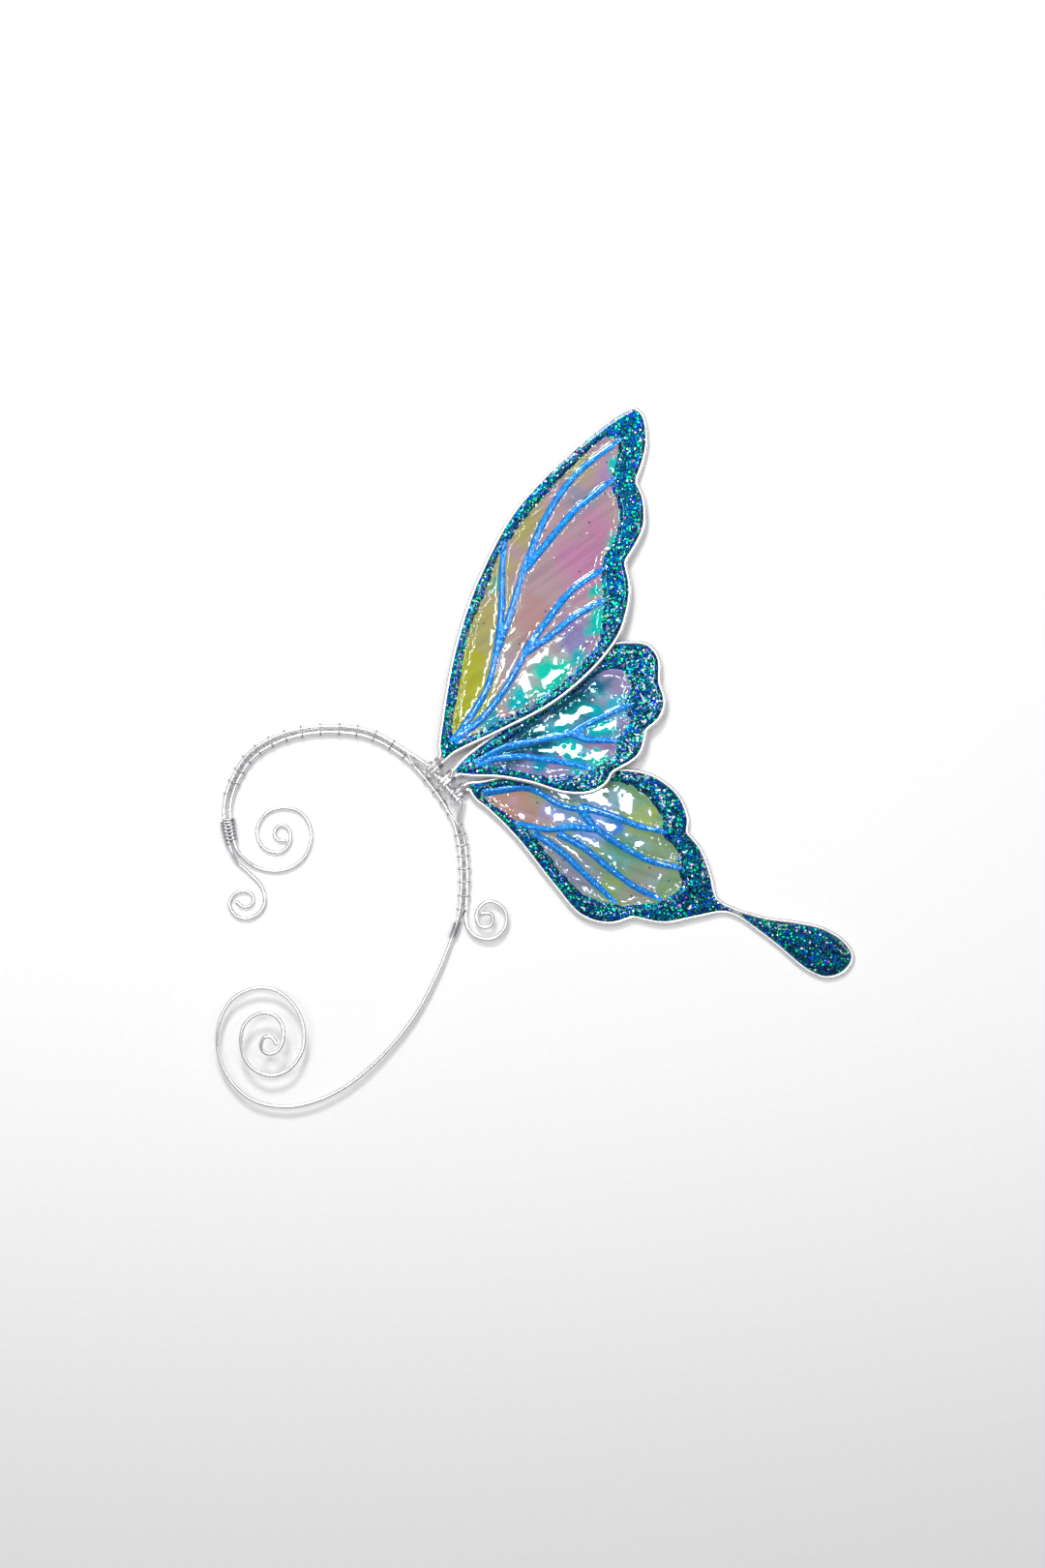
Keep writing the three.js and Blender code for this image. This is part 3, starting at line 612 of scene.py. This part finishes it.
# Each film: its main colour, then patches as x, y, radius (mm), colour and strength.
FILM_PAINT = {
    # Painted reflection: the turquoise, jade and aqua patches are halos of the highlights on the
    # resin, painted into the film.
    "upper": (MAUVE, [
        (-13.5, 8.5, 9, OLIVE, 1), (-12, 16.5, 8.5, OLIVE, 1), (-9.5, 25.5, 8.5, STRAW, 0.9),
        (-7.5, 34.5, 6, STRAW, 0.9), (-2, 43.5, 6, STRAW, 0.85), (6, 56, 6.5, STRAW, 0.8),
        (8.5, 48.5, 4.5, SLATE, 0.8), (12.5, 53, 5, LILAC, 0.9), (9.5, 35, 7, PINK, 0.75),
        (11, 42.5, 5.5, PINK, 0.7), (8.5, 23, 6.5, VIOLET, 0.9), (-1, 25.5, 6.5, ROSE, 0.8),
        (3, 15.5, 6, PAINTED_REFLECTION_TURQUOISE, 1), (8.5, 18, 4, PAINTED_REFLECTION_AQUA, 0.8), (-3, 11.5, 3.5, PAINTED_REFLECTION_AQUA, 1),
        (-8, 6.5, 3, CERULEAN, 0.8), (11.5, 30.5, 2.7, PAINTED_REFLECTION_JADE, 0.9), (14.5, 41.5, 2.7, PAINTED_REFLECTION_JADE, 0.9),
        (14.5, 54.5, 2.3, PAINTED_REFLECTION_JADE, 0.9), (12.5, 25, 3, PAINTED_REFLECTION_JADE, 0.9), (-8.5, 32.5, 2.5, SEA_GREEN, 0.8),
    ]),
    # Painted shadow and painted reflection: the deep teal and dusk patches along the top stand for
    # the shadow of the upper wing, and the aqua, turquoise and sky patches are painted reflection
    # halos round the highlights.
    "middle": (LAVENDER, [
        (6.5, 10.5, 7, PAINTED_SHADOW_TEAL, 1), (-0.5, 4.5, 7, PAINTED_SHADOW_TEAL, 1), (-6, 0.5, 5.5, PAINTED_SHADOW_TEAL, 1),
        (11.5, 14, 4.5, PAINTED_SHADOW_DUSK, 0.9), (16, 13.5, 4.7, LAVENDER, 0.9), (11.5, 6, 4.7, PAINTED_REFLECTION_AQUA, 0.9),
        (6, 2.5, 4.7, PAINTED_REFLECTION_AQUA, 0.9), (15.5, 8.5, 2.5, PAINTED_REFLECTION_SKY, 0.8), (8.5, -0.5, 4.5, PAINTED_REFLECTION_AQUA, 0.8),
        (14, -1, 3.5, PAINTED_REFLECTION_TURQUOISE, 0.9), (1, -1.5, 3.5, CERULEAN, 0.8), (12.5, 2.5, 3, PLUM, 0.8),
        (18.5, 4, 3, VIOLET, 0.8),
    ]),
    # Painted reflection: the powder and azure patches are blue-violet halos of the highlights on the
    # resin, painted into the film.
    "lower": (SAGE, [
        (-5.5, -8, 8, APRICOT, 1), (0.5, -11.5, 6, APRICOT, 1), (4, -10, 4, PAINTED_REFLECTION_POWDER, 0.7),
        (17.5, -6, 5, GRASS, 0.9), (20.5, -10, 5, LIME, 1), (24, -15.5, 5.5, SAGE, 0.9),
        # Painted shadow: the sea green patch at (16.5, -18) stands for the shadow beside a vein.
        (11, -12, 6, PAINTED_REFLECTION_POWDER, 1), (15.5, -12.5, 3.5, PAINTED_REFLECTION_AZURE, 0.9), (16.5, -18, 4.7, SEA_GREEN, 0.6),
        (23, -20, 3, GREIGE, 0.7), (7.5, -22, 6.5, SLATE, 0.9), (14, -24, 3.5, MOSS, 1),
        (19.5, -24, 4.5, GREIGE, 0.9), (3, -17.5, 4.7, SLATE, 0.8),
    ]),
}

SILVER = silver_material("silver_wire", (0.97, 0.97, 0.98), 0.24, 2400.0)
# Painted shade: the thin wire's silver is darker than the thick wire's, so that the turns of the
# wraps and bindings show as dark lines.
SHADED_THIN_SILVER = silver_material("thin_wire", (0.52, 0.53, 0.54), 0.22, 3600.0)
GLITTER = glitter_material()
VEIN = vein_material()
FILMS = {
    "upper": film_material("upper_window", *FILM_PAINT["upper"], (0.05, 1.0, 0.7), 0.6),
    "middle": film_material("middle_window", *FILM_PAINT["middle"], (0.0, 1.0, 0.75), 0.5),
    "lower": film_material("lower_window", *FILM_PAINT["lower"], (0.25, 0.35, 1.0), -0.35),
}
# The back of the film wears the upper film's patches, painted reflection halos among them.
BACK = film_material("film_back", *FILM_PAINT["upper"], (0.3, 0.9, 0.9), 0.6, coat=0.4)

# ------------------------------------------------------------------ cuff wires

ear_points = [
    *raised(UPPER_SPIRAL, FLOOR_LEVEL),
    *raised(ARCH, BOUND_LEVEL, ARCH_LEVEL),
    *raised(ROOT, ROOT_LEVEL),
    *raised(EAR_BACK, ARCH_LEVEL),
    *raised(LOBE_SWEEP, ARCH_LEVEL, LOBE_LEVEL),
    *raised(LOBE_SPIRAL, LOBE_LEVEL, LOBE_TOP),
]
ear_at = bend(ear_points)
ARCH_START = len(UPPER_SPIRAL)
BACK_START = ARCH_START + len(ARCH) + len(ROOT)


def ear_direction(index):
    return unit(ear_at(index + 0.02) - ear_at(index - 0.02))


def beside_ear(index, lift):
    side = np.cross(UP, ear_direction(index)) * [1, 1, 0]
    return ear_at(index) + unit(side) * PAIR_GAP + UP * lift


def hinge_point(along):
    return HINGE_START + HINGE_ALONG * along


outer_arch = [beside_ear(ARCH_START + i, lift) for i, lift in enumerate(ARCH_LIFTS)]
outer_back = [beside_ear(BACK_START + i, lift) for i, lift in enumerate(BACK_LIFTS)]
outer_back += raised(LOWER_CURL, ARCH_LEVEL, CURL_LEVEL)
outer_arch_at = bend([*outer_arch, hinge_point(0)])
outer_back_at = bend([hinge_point(HINGE_LENGTH), *outer_back])


def arch_frame(index):
    return ear_at(index), outer_arch_at(index - ARCH_START), ear_direction(index)


def back_frame(index):
    return ear_at(index), outer_back_at(index - BACK_START + 1), ear_direction(index)


def root_frame(index):
    first, along = ear_at(index), ear_direction(index)
    return first, first + 0.001 * np.cross(UP, along), along


WRAP_FIT = 0.01  # gap between a wrap and the wires
CROSSING_FROM = 0.25  # a wrap moves on along the wires in this part of a turn, under them
CROSSING_LENGTH = 0.3


def wind(frame_at, start, end, count, diameter, both):
    """Thin wire wound round one wire or two, as points; a turn keeps tight to the wires."""
    radius = (WIRE + diameter) / 2 + WRAP_FIT
    points = []
    for k in range(int(count * WRAP_STEPS) + 1):
        turn, phase = divmod(k / WRAP_STEPS, 1)
        share = min((turn + smooth_step((phase - CROSSING_FROM) / CROSSING_LENGTH)) / count, 1)
        first, other, along = frame_at(start + (end - start) * share)
        gap = other - first
        gap -= along * gap.dot(along)
        width = np.linalg.norm(gap) if both else 0.0
        across = unit(gap)
        rise = np.cross(across, along)
        length = 2 * math.pi * radius + 2 * width
        s = phase * length
        arc = math.pi * radius
        if s < arc:
            a, centre = s / radius - math.pi / 2, first + across * width
        elif s < arc + width:
            a, centre = math.pi / 2, first + across * (width - (s - arc))
        elif s < 2 * arc + width:
            a, centre = (s - arc - width) / radius + math.pi / 2, first
        else:
            a, centre = 1.5 * math.pi, first + across * (s - 2 * arc - width)
        points.append(centre + radius * (across * math.cos(a) + rise * math.sin(a)))
    return points


def piece(obj, body, cad_node):
    """Puts a finished piece on its body, in the place of its CAD node."""
    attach(obj, body)
    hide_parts(cad_node)


def build_cuff():
    ear = ease(fine(ear_points))
    piece(sweep("ear_wire_round", ear, WIRE, SILVER), "cuff", "ear_wire")
    curl = raised(SMALL_CURL, FLOOR_LEVEL)
    outer = np.vstack([
        ease(fine([*curl, *outer_arch, hinge_point(0)])),
        fine([hinge_point(BEND_KEPT), hinge_point(HINGE_LENGTH - BEND_KEPT)]),
        ease(fine([hinge_point(HINGE_LENGTH), *outer_back])),
    ])
    outer = ease(outer, 1)
    piece(sweep("outer_wire_round", outer, WIRE, SILVER), "cuff", "outer_wire")
    wrap = [  # each run from and to a place on the ear wire's route, and its turns
        *wind(arch_frame, ARCH_START + 2.3, ARCH_START + 9.2, 13, WRAP, True),
        *wind(root_frame, ARCH_START + 9.7, BACK_START - 0.6, 4, WRAP, False),
        *wind(back_frame, BACK_START + 0.3, BACK_START + 4.45, 7, WRAP, True),
        *wind(root_frame, BACK_START + 5, BACK_START + 5.95, 9, WRAP, False),
    ]
    obj = sweep("wrap_wire_round", wrap, WRAP, SHADED_THIN_SILVER, WRAP_SIDES)
    piece(obj, "cuff", "wrap_wire")
    band = wind(arch_frame, ARCH_START + 0.35, ARCH_START + 1.15, 7, BAND, True)
    obj = sweep("upper_binding_round", band, BAND, SHADED_THIN_SILVER, BAND_SIDES)
    piece(obj, "cuff", "upper_binding")


# ------------------------------------------------------------------ wing wires


def plane_height(wing, x, y):
    z, slope_x, slope_y = wing["plane"]
    return z + slope_x * x + slope_y * y


def beside_hinge(along, out, above):
    return hinge_point(along) + HINGE_OUT * out + UP * above


def stem_coil(wing, start, direction, count):
    points = []
    for i in range(int(count * COIL_STEPS) + 1):
        angle = 2 * math.pi * i / COIL_STEPS
        along = start + direction * COIL_PITCH * i / COIL_STEPS
        above = wing["side"] * COIL_RADIUS * math.cos(angle)
        points.append(beside_hinge(along, -COIL_RADIUS * math.sin(angle), above))
    return points


def panel_outline(wing, stretches):
    """The wing's outline with the neck's end, which the glitter fills too."""
    first, last = (tuple(neck(wing, direction)[1][:2]) for direction in (-1, 1))
    return along_stretches([[first, *stretches[0]], *stretches[1:-1], [*stretches[-1], last]])


def neck(wing, direction):
    """Start and end of one stem wire between the coil and the wing."""
    along = wing["coil_at"] + direction * STEM_GAP / 2
    start = beside_hinge(along, NECK_NEAR, wing["side"] * COIL_RADIUS)
    end = beside_hinge(along, NECK_FAR, 0)
    end[2] = plane_height(wing, end[0], end[1])
    return start, end


def wing_wires(wing, body):
    on_plane = [[np.array([x, y, plane_height(wing, x, y)]) for x, y in s] for s in wing["outline"]]
    first, last = neck(wing, -1), neck(wing, 1)
    on_plane[0].insert(0, first[1])
    on_plane[-1].append(last[1])
    half = STEM_GAP / 2
    coil = stem_coil(wing, wing["coil_at"] - half, -1, FIRST_COIL_TURNS)[::-1]
    other_coil = stem_coil(wing, wing["coil_at"] + half, 1, LAST_COIL_TURNS)
    outline = [coil[-1:], [first[0]], along_stretches(on_plane), [last[0]], other_coil[:1]]
    path = np.vstack([coil, ease(np.vstack(outline), 3)[1:-1], other_coil])
    name = wing["name"]
    piece(sweep(f"{name}_frame_round", path, WIRE, SILVER), body, f"{name}_frame")

    def frame_at(share):
        a = first[0] + (first[1] - first[0]) * share
        b = last[0] + (last[1] - last[0]) * share
        return a, b, unit(first[1] - first[0])

    turns = wind(frame_at, *NECK_RUN, WRAP, True)
    obj = sweep(f"{name}_neck_round", turns, WRAP, SHADED_THIN_SILVER, WRAP_SIDES)
    piece(obj, body, f"{name}_neck_binding")


# ------------------------------------------------------------------ wing surfaces


def segments(line, closed):
    a = np.asarray(line)
    b = np.roll(a, -1, axis=0)
    return (a, b) if closed else (a[:-1], b[:-1])


def distance_to(points, line, closed=True):
    """Distance of each point to a polyline."""
    a, b = segments(line, closed)
    best = np.full(len(points), 1e9)
    run = b - a
    length = np.maximum((run**2).sum(1), 1e-12)
    for start in range(0, len(points), CHUNK):
        chunk = points[start:start + CHUNK, None, :]
        t = np.clip(((chunk - a) * run).sum(2) / length, 0, 1)
        gap = chunk - (a + t[..., None] * run)
        best[start:start + CHUNK] = np.sqrt((gap**2).sum(2).min(1))
    return best


def inside(points, loop):
    """Which points lie inside a closed loop."""
    a, b = segments(loop, True)
    result = np.zeros(len(points), bool)
    for start in range(0, len(points), CHUNK):
        x = points[start:start + CHUNK, 0, None]
        y = points[start:start + CHUNK, 1, None]
        crosses = (a[:, 1] > y) != (b[:, 1] > y)
        with np.errstate(divide="ignore", invalid="ignore"):
            at = a[:, 0] + (y - a[:, 1]) * (b[:, 0] - a[:, 0]) / (b[:, 1] - a[:, 1])
        result[start:start + CHUNK] = (crosses & (x < at)).sum(1) % 2 == 1
    return result


def inset(loop, distance):
    """A clockwise loop moved inwards."""
    before, after = np.roll(loop, 1, axis=0), np.roll(loop, -1, axis=0)
    run_a, run_b = loop - before, after - loop
    inward = np.array([[y, -x] for x, y in run_a / np.linalg.norm(run_a, axis=1)[:, None]])
    inward += np.array([[y, -x] for x, y in run_b / np.linalg.norm(run_b, axis=1)[:, None]])
    inward /= np.linalg.norm(inward, axis=1)[:, None]
    return loop + inward * distance


def field(points, scale, seed):
    """Smooth noise at each point, with about scale waves in a millimetre."""
    return np.array([noise.noise(Vector((x * scale, y * scale, seed))) for x, y in points])


def ragged(loop, amount, scale):
    """A loop whose edge wanders a little, as poured glitter does."""
    centre = loop.mean(0)
    away = (loop - centre) / np.linalg.norm(loop - centre, axis=1)[:, None]
    wander = field(loop, scale, 3.3) + 0.5 * field(loop, scale * 2.3, 8.1)
    return loop + away * amount * wander[:, None]


VEIN_ROOT = 1.45  # width
VEIN_TIP = 1.05
VEIN_REACH = 1.3  # how far a stroke runs on past its last point, into the glitter


def vein_loop(points):
    """Outline of a stroke of resin that narrows from its root to its tip and ends round."""
    end = np.array(points[-1], dtype=float)
    beyond = end + unit(end - np.array(points[-2])) * VEIN_REACH
    line = fine([*points, tuple(beyond)], VEIN_STEP)
    run = np.gradient(line, axis=0)
    side = np.stack([-run[:, 1], run[:, 0]], 1) / np.linalg.norm(run, axis=1)[:, None]
    share = np.linspace(0, 1, len(line))
    wobble = 1 + 0.22 * field(line, 0.5, 5)
    half = (VEIN_ROOT + (VEIN_TIP - VEIN_ROOT) * share) / 2 * wobble
    taper = np.sqrt(np.clip((1 - share) / 0.07, 0.06, 1))[:, None]
    tip = line[-1] + unit(line[-1] - line[-2]) * 0.1
    reach = side * half[:, None] * taper
    return line, half, np.vstack([line + reach, [tip], (line - reach)[::-1]])


def surface_height(points, outer, window, veins, beads, seed):
    """Height of the cast resin above the middle of the frame wire.

    The border is a raised bank. In the window the resin sinks from it to a thin uneven pool, out of
    which the veins stand, each with a skirt of resin that creeps up its sides.
    """
    to_window = distance_to(points, window)
    in_window = inside(points, window)
    to_edge = distance_to(points, outer)
    ripple = field(points, 0.95, seed + 5)
    border = 0.16 + 0.24 * smooth_step(to_window / 0.8) - 0.10 * (1 - smooth_step(to_edge / 0.6))
    border += 0.03 * field(points, 0.8, seed) + 0.016 * field(points, 2.6, seed + 4)
    reach = np.clip(0.85 + 1.3 * field(points, 0.22, seed + 7), 0.4, 1.8)
    pool = 0.20 - 0.19 * smooth_step(to_window / reach)
    pool += 0.02 * smooth_step(to_window / 2) * field(points, 0.2, seed + 9)
    pool += 0.011 * smooth_step(to_window) * field(points, 0.42, seed + 11)
    pool += 0.08 * np.exp(-((to_window / 0.9) ** 2)) * ripple
    height = np.where(in_window, pool, border)
    ridge = np.zeros(len(points))
    for line, half, _ in veins:
        gap = distance_to(points, line, closed=False)
        width = half.mean()
        crown = 0.05 + 0.17 * np.sqrt(np.clip(1 - (gap / width) ** 2, 0, 1))
        skirt = (0.05 + 0.08 * ripple) * np.exp(-np.maximum(gap - width, 0) / 0.32)
        ridge = np.maximum(ridge, np.where(gap < width, crown + 0.02 * ripple, skirt))
    height += np.where(in_window, ridge, ridge * np.exp(-to_window / 0.4))
    for x, y, radius in beads:
        gap = np.hypot(points[:, 0] - x, points[:, 1] - y)
        height += radius * 0.42 * np.exp(-((gap / radius) ** 2) * 1.6)
    return height


def triangulate(outer, loops, grid):
    """Triangles that follow every loop, over points on a grid inside the outer loop."""
    low, high = outer.min(0), outer.max(0)
    xs = np.arange(low[0], high[0], grid)
    ys = np.arange(low[1], high[1], grid * 0.866)
    xx, yy = np.meshgrid(xs, ys)
    xx = xx + (np.arange(len(ys)) % 2)[:, None] * grid / 2
    spread = np.stack([xx.ravel(), yy.ravel()], 1)
    spread = spread[inside(spread, outer)]
    for loop in [outer, *loops]:
        spread = spread[distance_to(spread, loop) > grid * 0.45]
    vertices, edges = [], []
    for loop in [outer, *loops]:
        start = len(vertices)
        vertices += [Vector(p) for p in loop]
        edges += [(start + i, start + (i + 1) % len(loop)) for i in range(len(loop))]
    vertices += [Vector(p) for p in spread]
    made = delaunay_2d_cdt(vertices, edges, [], 0, 1e-5)
    points = np.array([tuple(v) for v in made[0]])
    return points, np.array([f for f in made[2] if len(f) == 3])


def slab(name, points, triangles, top, bottom, material):
    """A closed solid over some triangles, between a top and a bottom height for each point."""
    used = np.unique(triangles)
    index = np.full(len(points), -1)
    index[used] = np.arange(len(used))
    tris = index[triangles]
    a, b, c = (points[used][tris[:, k]] for k in range(3))
    turn = (b[:, 0] - a[:, 0]) * (c[:, 1] - a[:, 1]) - (b[:, 1] - a[:, 1]) * (c[:, 0] - a[:, 0])
    tris[turn < 0] = tris[turn < 0][:, ::-1]
    n = len(used)
    flat = points[used]
    vertices = np.vstack([np.column_stack([flat, top[used]]), np.column_stack([flat, bottom[used]])])
    directed = {(int(t[k]), int(t[(k + 1) % 3])) for t in tris for k in range(3)}
    rim = [(i, j) for i, j in directed if (j, i) not in directed]
    rim.sort()
    faces = [tuple(map(int, t)) for t in tris]
    faces += [tuple(int(v) + n for v in t[::-1]) for t in tris]
    faces += [(i + n, j + n, j, i) for i, j in rim]
    obj = add_mesh(name, vertices, faces, material)
    mark_rim(obj, rim, n)
    return obj


def mark_rim(obj, rim, n):
    """Keeps the shading of a slab's top apart from that of its sides."""
    sharp = {frozenset(e) for i, j in rim for e in ((i, j), (i + n, j + n))}
    for edge in obj.data.edges:
        if frozenset(edge.vertices) in sharp:
            edge.use_edge_sharp = True


BEADS = 26  # on the veins of a wing, and as many smaller ones elsewhere


def beads_along(veins, window, count, rng):
    """Small round drops of resin, most of them on the veins."""
    beads = []
    for _ in range(count):
        line = veins[rng.integers(len(veins))][0]
        x, y = line[rng.integers(len(line))] + rng.normal(0, 0.12, 2)
        beads.append((x, y, rng.uniform(0.16, 0.34)))
    low, high = window.min(0), window.max(0)
    for x, y in rng.uniform(low, high, (count, 2)):
        beads.append((x, y, rng.uniform(0.10, 0.2)))
    return beads


def wing_surface(wing, body, outer, seed):
    """Veins, window and border of a wing, cut from one poured surface, and the film under them."""
    name = wing["name"]
    edge = inset(outer, RESIN_INSET)
    window = ragged(fine(wing["window"], WINDOW_STEP, closed=True), 0.42, 0.8)
    strokes = {cad_node: [vein_loop(s) for s in lines] for cad_node, lines in wing["veins"].items()}
    veins = [v for group in strokes.values() for v in group]
    points, triangles = triangulate(edge, [window, *[v[2] for v in veins]], RESIN_GRID)
    beads = beads_along(veins, window, BEADS, np.random.default_rng(seed))
    level = plane_height(wing, points[:, 0], points[:, 1])
    top = level + surface_height(points, edge, window, veins, beads, seed)
    bottom = level + RESIN_BOTTOM
    middle = points[triangles].mean(1)
    in_edge = inside(middle, edge)
    in_window = inside(middle, window)
    taken = np.zeros(len(middle), bool)
    for cad_node, group in strokes.items():
        here = np.zeros(len(middle), bool)
        for _, _, loop in group:
            here |= inside(middle, loop)
        here &= in_edge & ~taken
        taken |= here
        obj = slab(f"{cad_node}_cast", points, triangles[here], top, bottom, VEIN)
        piece(obj, body, cad_node)
    panes = in_window & in_edge & ~taken
    obj = slab(f"{name}_clear_resin_cast", points, triangles[panes], top, bottom, FILMS[name])
    piece(obj, body, f"{name}_clear_resin")
    rim = in_edge & ~in_window & ~taken
    obj = slab(f"{name}_glitter_cast", points, triangles[rim], top, bottom, GLITTER)
    piece(obj, body, f"{name}_glitter_border")
    points, triangles = triangulate(edge, [], FILM_GRID)
    level = plane_height(wing, points[:, 0], points[:, 1])
    triangles = triangles[inside(points[triangles].mean(1), edge)]
    top, bottom = level + FILM_TOP, level + FILM_BOTTOM
    obj = slab(f"{name}_film_sheet", points, triangles, top, bottom, BACK)
    piece(obj, body, f"{name}_film")


def tail_surface(outer):
    edge = inset(outer, RESIN_INSET)
    points, triangles = triangulate(edge, [], RESIN_GRID)
    triangles = triangles[inside(points[triangles].mean(1), edge)]
    level = plane_height(LOWER, points[:, 0], points[:, 1])
    height = 0.14 + 0.26 * smooth_step(distance_to(points, edge) / 1.8)
    height += 0.03 * field(points, 0.8, 3) + 0.02 * field(points, 2.6, 6)
    obj = slab("tail_drop_cast", points, triangles, level + height, level + FILM_BOTTOM, GLITTER)
    piece(obj, "lower_wing", "tail_drop")


def build_wings():
    for wing, body, seed in ((UPPER, "upper_wing", 11), (MIDDLE, "middle_wing", 23)):
        wing_wires(wing, body)
        wing_surface(wing, body, panel_outline(wing, wing["outline"]), seed)
    wing_wires(LOWER, "lower_wing")
    top, right, tail, bottom, left = LOWER["outline"]
    panel = panel_outline(LOWER, [top, right, bottom, left])
    wing_surface(LOWER, "lower_wing", panel[panel[:, 0] < WAIST], 37)
    tip = along_stretches([right, tail])
    tail_surface(tip[tip[:, 0] > WAIST])


# ------------------------------------------------------------------ stage

VIEW_CENTRE = (-2.4 * MM, -4.95 * MM)
VIEW_HEIGHT = 291.6 * MM  # what the picture takes in from top to bottom
TOP_LEVEL = 1.5 * MM  # the height at which it takes in that much
LENS = 85.0
SENSOR = 36.0
FLOOR_HALF = 1.5


def build_camera():
    data = bpy.data.cameras.new("camera")
    data.lens = LENS
    data.sensor_width = SENSOR
    obj = bpy.data.objects.new("camera", data)
    obj.location = (*VIEW_CENTRE, VIEW_HEIGHT * LENS / SENSOR + TOP_LEVEL)
    bpy.context.scene.collection.objects.link(obj)
    bpy.context.scene.camera = obj


def area_light(name, place, size, power, colour=(1, 1, 1)):
    """A flat light that faces the middle of the floor. The small ones make the resin's highlights."""
    data = bpy.data.lights.new(name, "AREA")
    data.shape = "RECTANGLE"
    data.size, data.size_y = size
    data.energy = power
    data.color = colour
    obj = bpy.data.objects.new(name, data)
    obj.location = place
    obj.rotation_mode = "QUATERNION"
    obj.rotation_quaternion = (-Vector(place)).to_track_quat("-Z", "Y")
    bpy.context.scene.collection.objects.link(obj)


def build_lights():
    area_light("key", (-0.08, 0.28, 0.38), (0.12, 0.08), 1.02)
    area_light("left_strip", (-0.26, 0.0, 0.56), (0.04, 0.16), 0.44)
    area_light("right_strip", (0.26, 0.04, 0.56), (0.02, 0.16), 0.26)
    area_light("upper_left", (-0.16, 0.18, 0.74), (0.03, 0.14), 0.5)
    area_light("upper_right", (0.11, 0.17, 0.75), (0.035, 0.15), 0.55)
    area_light("upper_spot", (-0.044, 0.124, 0.75), (0.02, 0.015), 0.065)
    area_light("middle_spot", (0.0, 0.10, 0.75), (0.03, 0.02), 0.10)
    area_light("lower_spot", (0.05, 0.004, 0.75), (0.036, 0.025), 0.16, (0.80, 0.83, 1.0))
    world = bpy.data.worlds.new("studio")
    world.use_nodes = True
    nodes, links = world.node_tree.nodes, world.node_tree.links
    coords = nodes.new("ShaderNodeTexCoord")
    split = nodes.new("ShaderNodeSeparateXYZ")
    links.new(coords.outputs["Generated"], split.inputs[0])
    sky = ramp(nodes, [
        (0.0, (0.1, 0.1, 0.11)), (0.3, (0.18, 0.18, 0.19)), (0.5, (1, 1, 1)),
        (0.82, (1, 1, 1)), (0.93, (0.5, 0.5, 0.51)), (1.0, (0.42, 0.42, 0.43)),
    ])
    links.new(split.outputs["Z"], sky.inputs["Fac"])
    background = nodes["Background"]
    links.new(sky.outputs["Color"], background.inputs["Color"])
    background.inputs["Strength"].default_value = 0.5
    bpy.context.scene.world = world


def build_floor():
    """White paper with painted shade, which makes it a little greyer towards the bottom of the
    picture.
    """
    material, nodes, links, bsdf = new_material("paper")
    shine(bsdf, Roughness=0.9)
    coords = nodes.new("ShaderNodeTexCoord")
    grain = node(nodes, "ShaderNodeTexNoise", Scale=900.0, Detail=3.0)
    links.new(coords.outputs["Object"], grain.inputs["Vector"])
    tone = ramp(nodes, [(0.3, (0.93, 0.93, 0.935)), (0.7, (0.95, 0.95, 0.95))])
    links.new(grain.outputs["Fac"], tone.inputs["Fac"])
    split = nodes.new("ShaderNodeSeparateXYZ")
    links.new(coords.outputs["Object"], split.inputs[0])
    # Painted shade: the paper's colour darkens towards the bottom of the picture, standing in for the
    # light falling off there.
    near = node(nodes, "ShaderNodeMapRange", interpolation_type="SMOOTHSTEP")
    near.inputs["From Min"].default_value = -0.17
    near.inputs["From Max"].default_value = -0.03
    links.new(split.outputs["Y"], near.inputs["Value"])
    shade = ramp(nodes, [(0.0, (0.83, 0.83, 0.83)), (1.0, (1, 1, 1))])
    links.new(near.outputs["Result"], shade.inputs["Fac"])
    colour = mixed(nodes, links, 1.0, tone.outputs["Color"], shade.outputs["Color"], "MULTIPLY")
    links.new(colour, bsdf.inputs["Base Color"])
    corners = [(x * FLOOR_HALF, y * FLOOR_HALF, 0) for x, y in ((-1, -1), (1, -1), (1, 1), (-1, 1))]
    mesh = bpy.data.meshes.new("floor")
    mesh.from_pydata(corners, [], [(0, 1, 2, 3)])
    mesh.materials.append(material)
    obj = bpy.data.objects.new("floor", mesh)
    bpy.context.scene.collection.objects.link(obj)


build_camera()
build_floor()
build_lights()
build_cuff()
build_wings()
bpy.context.scene.view_settings.view_transform = "Standard"

bpy.context.view_layer.update()
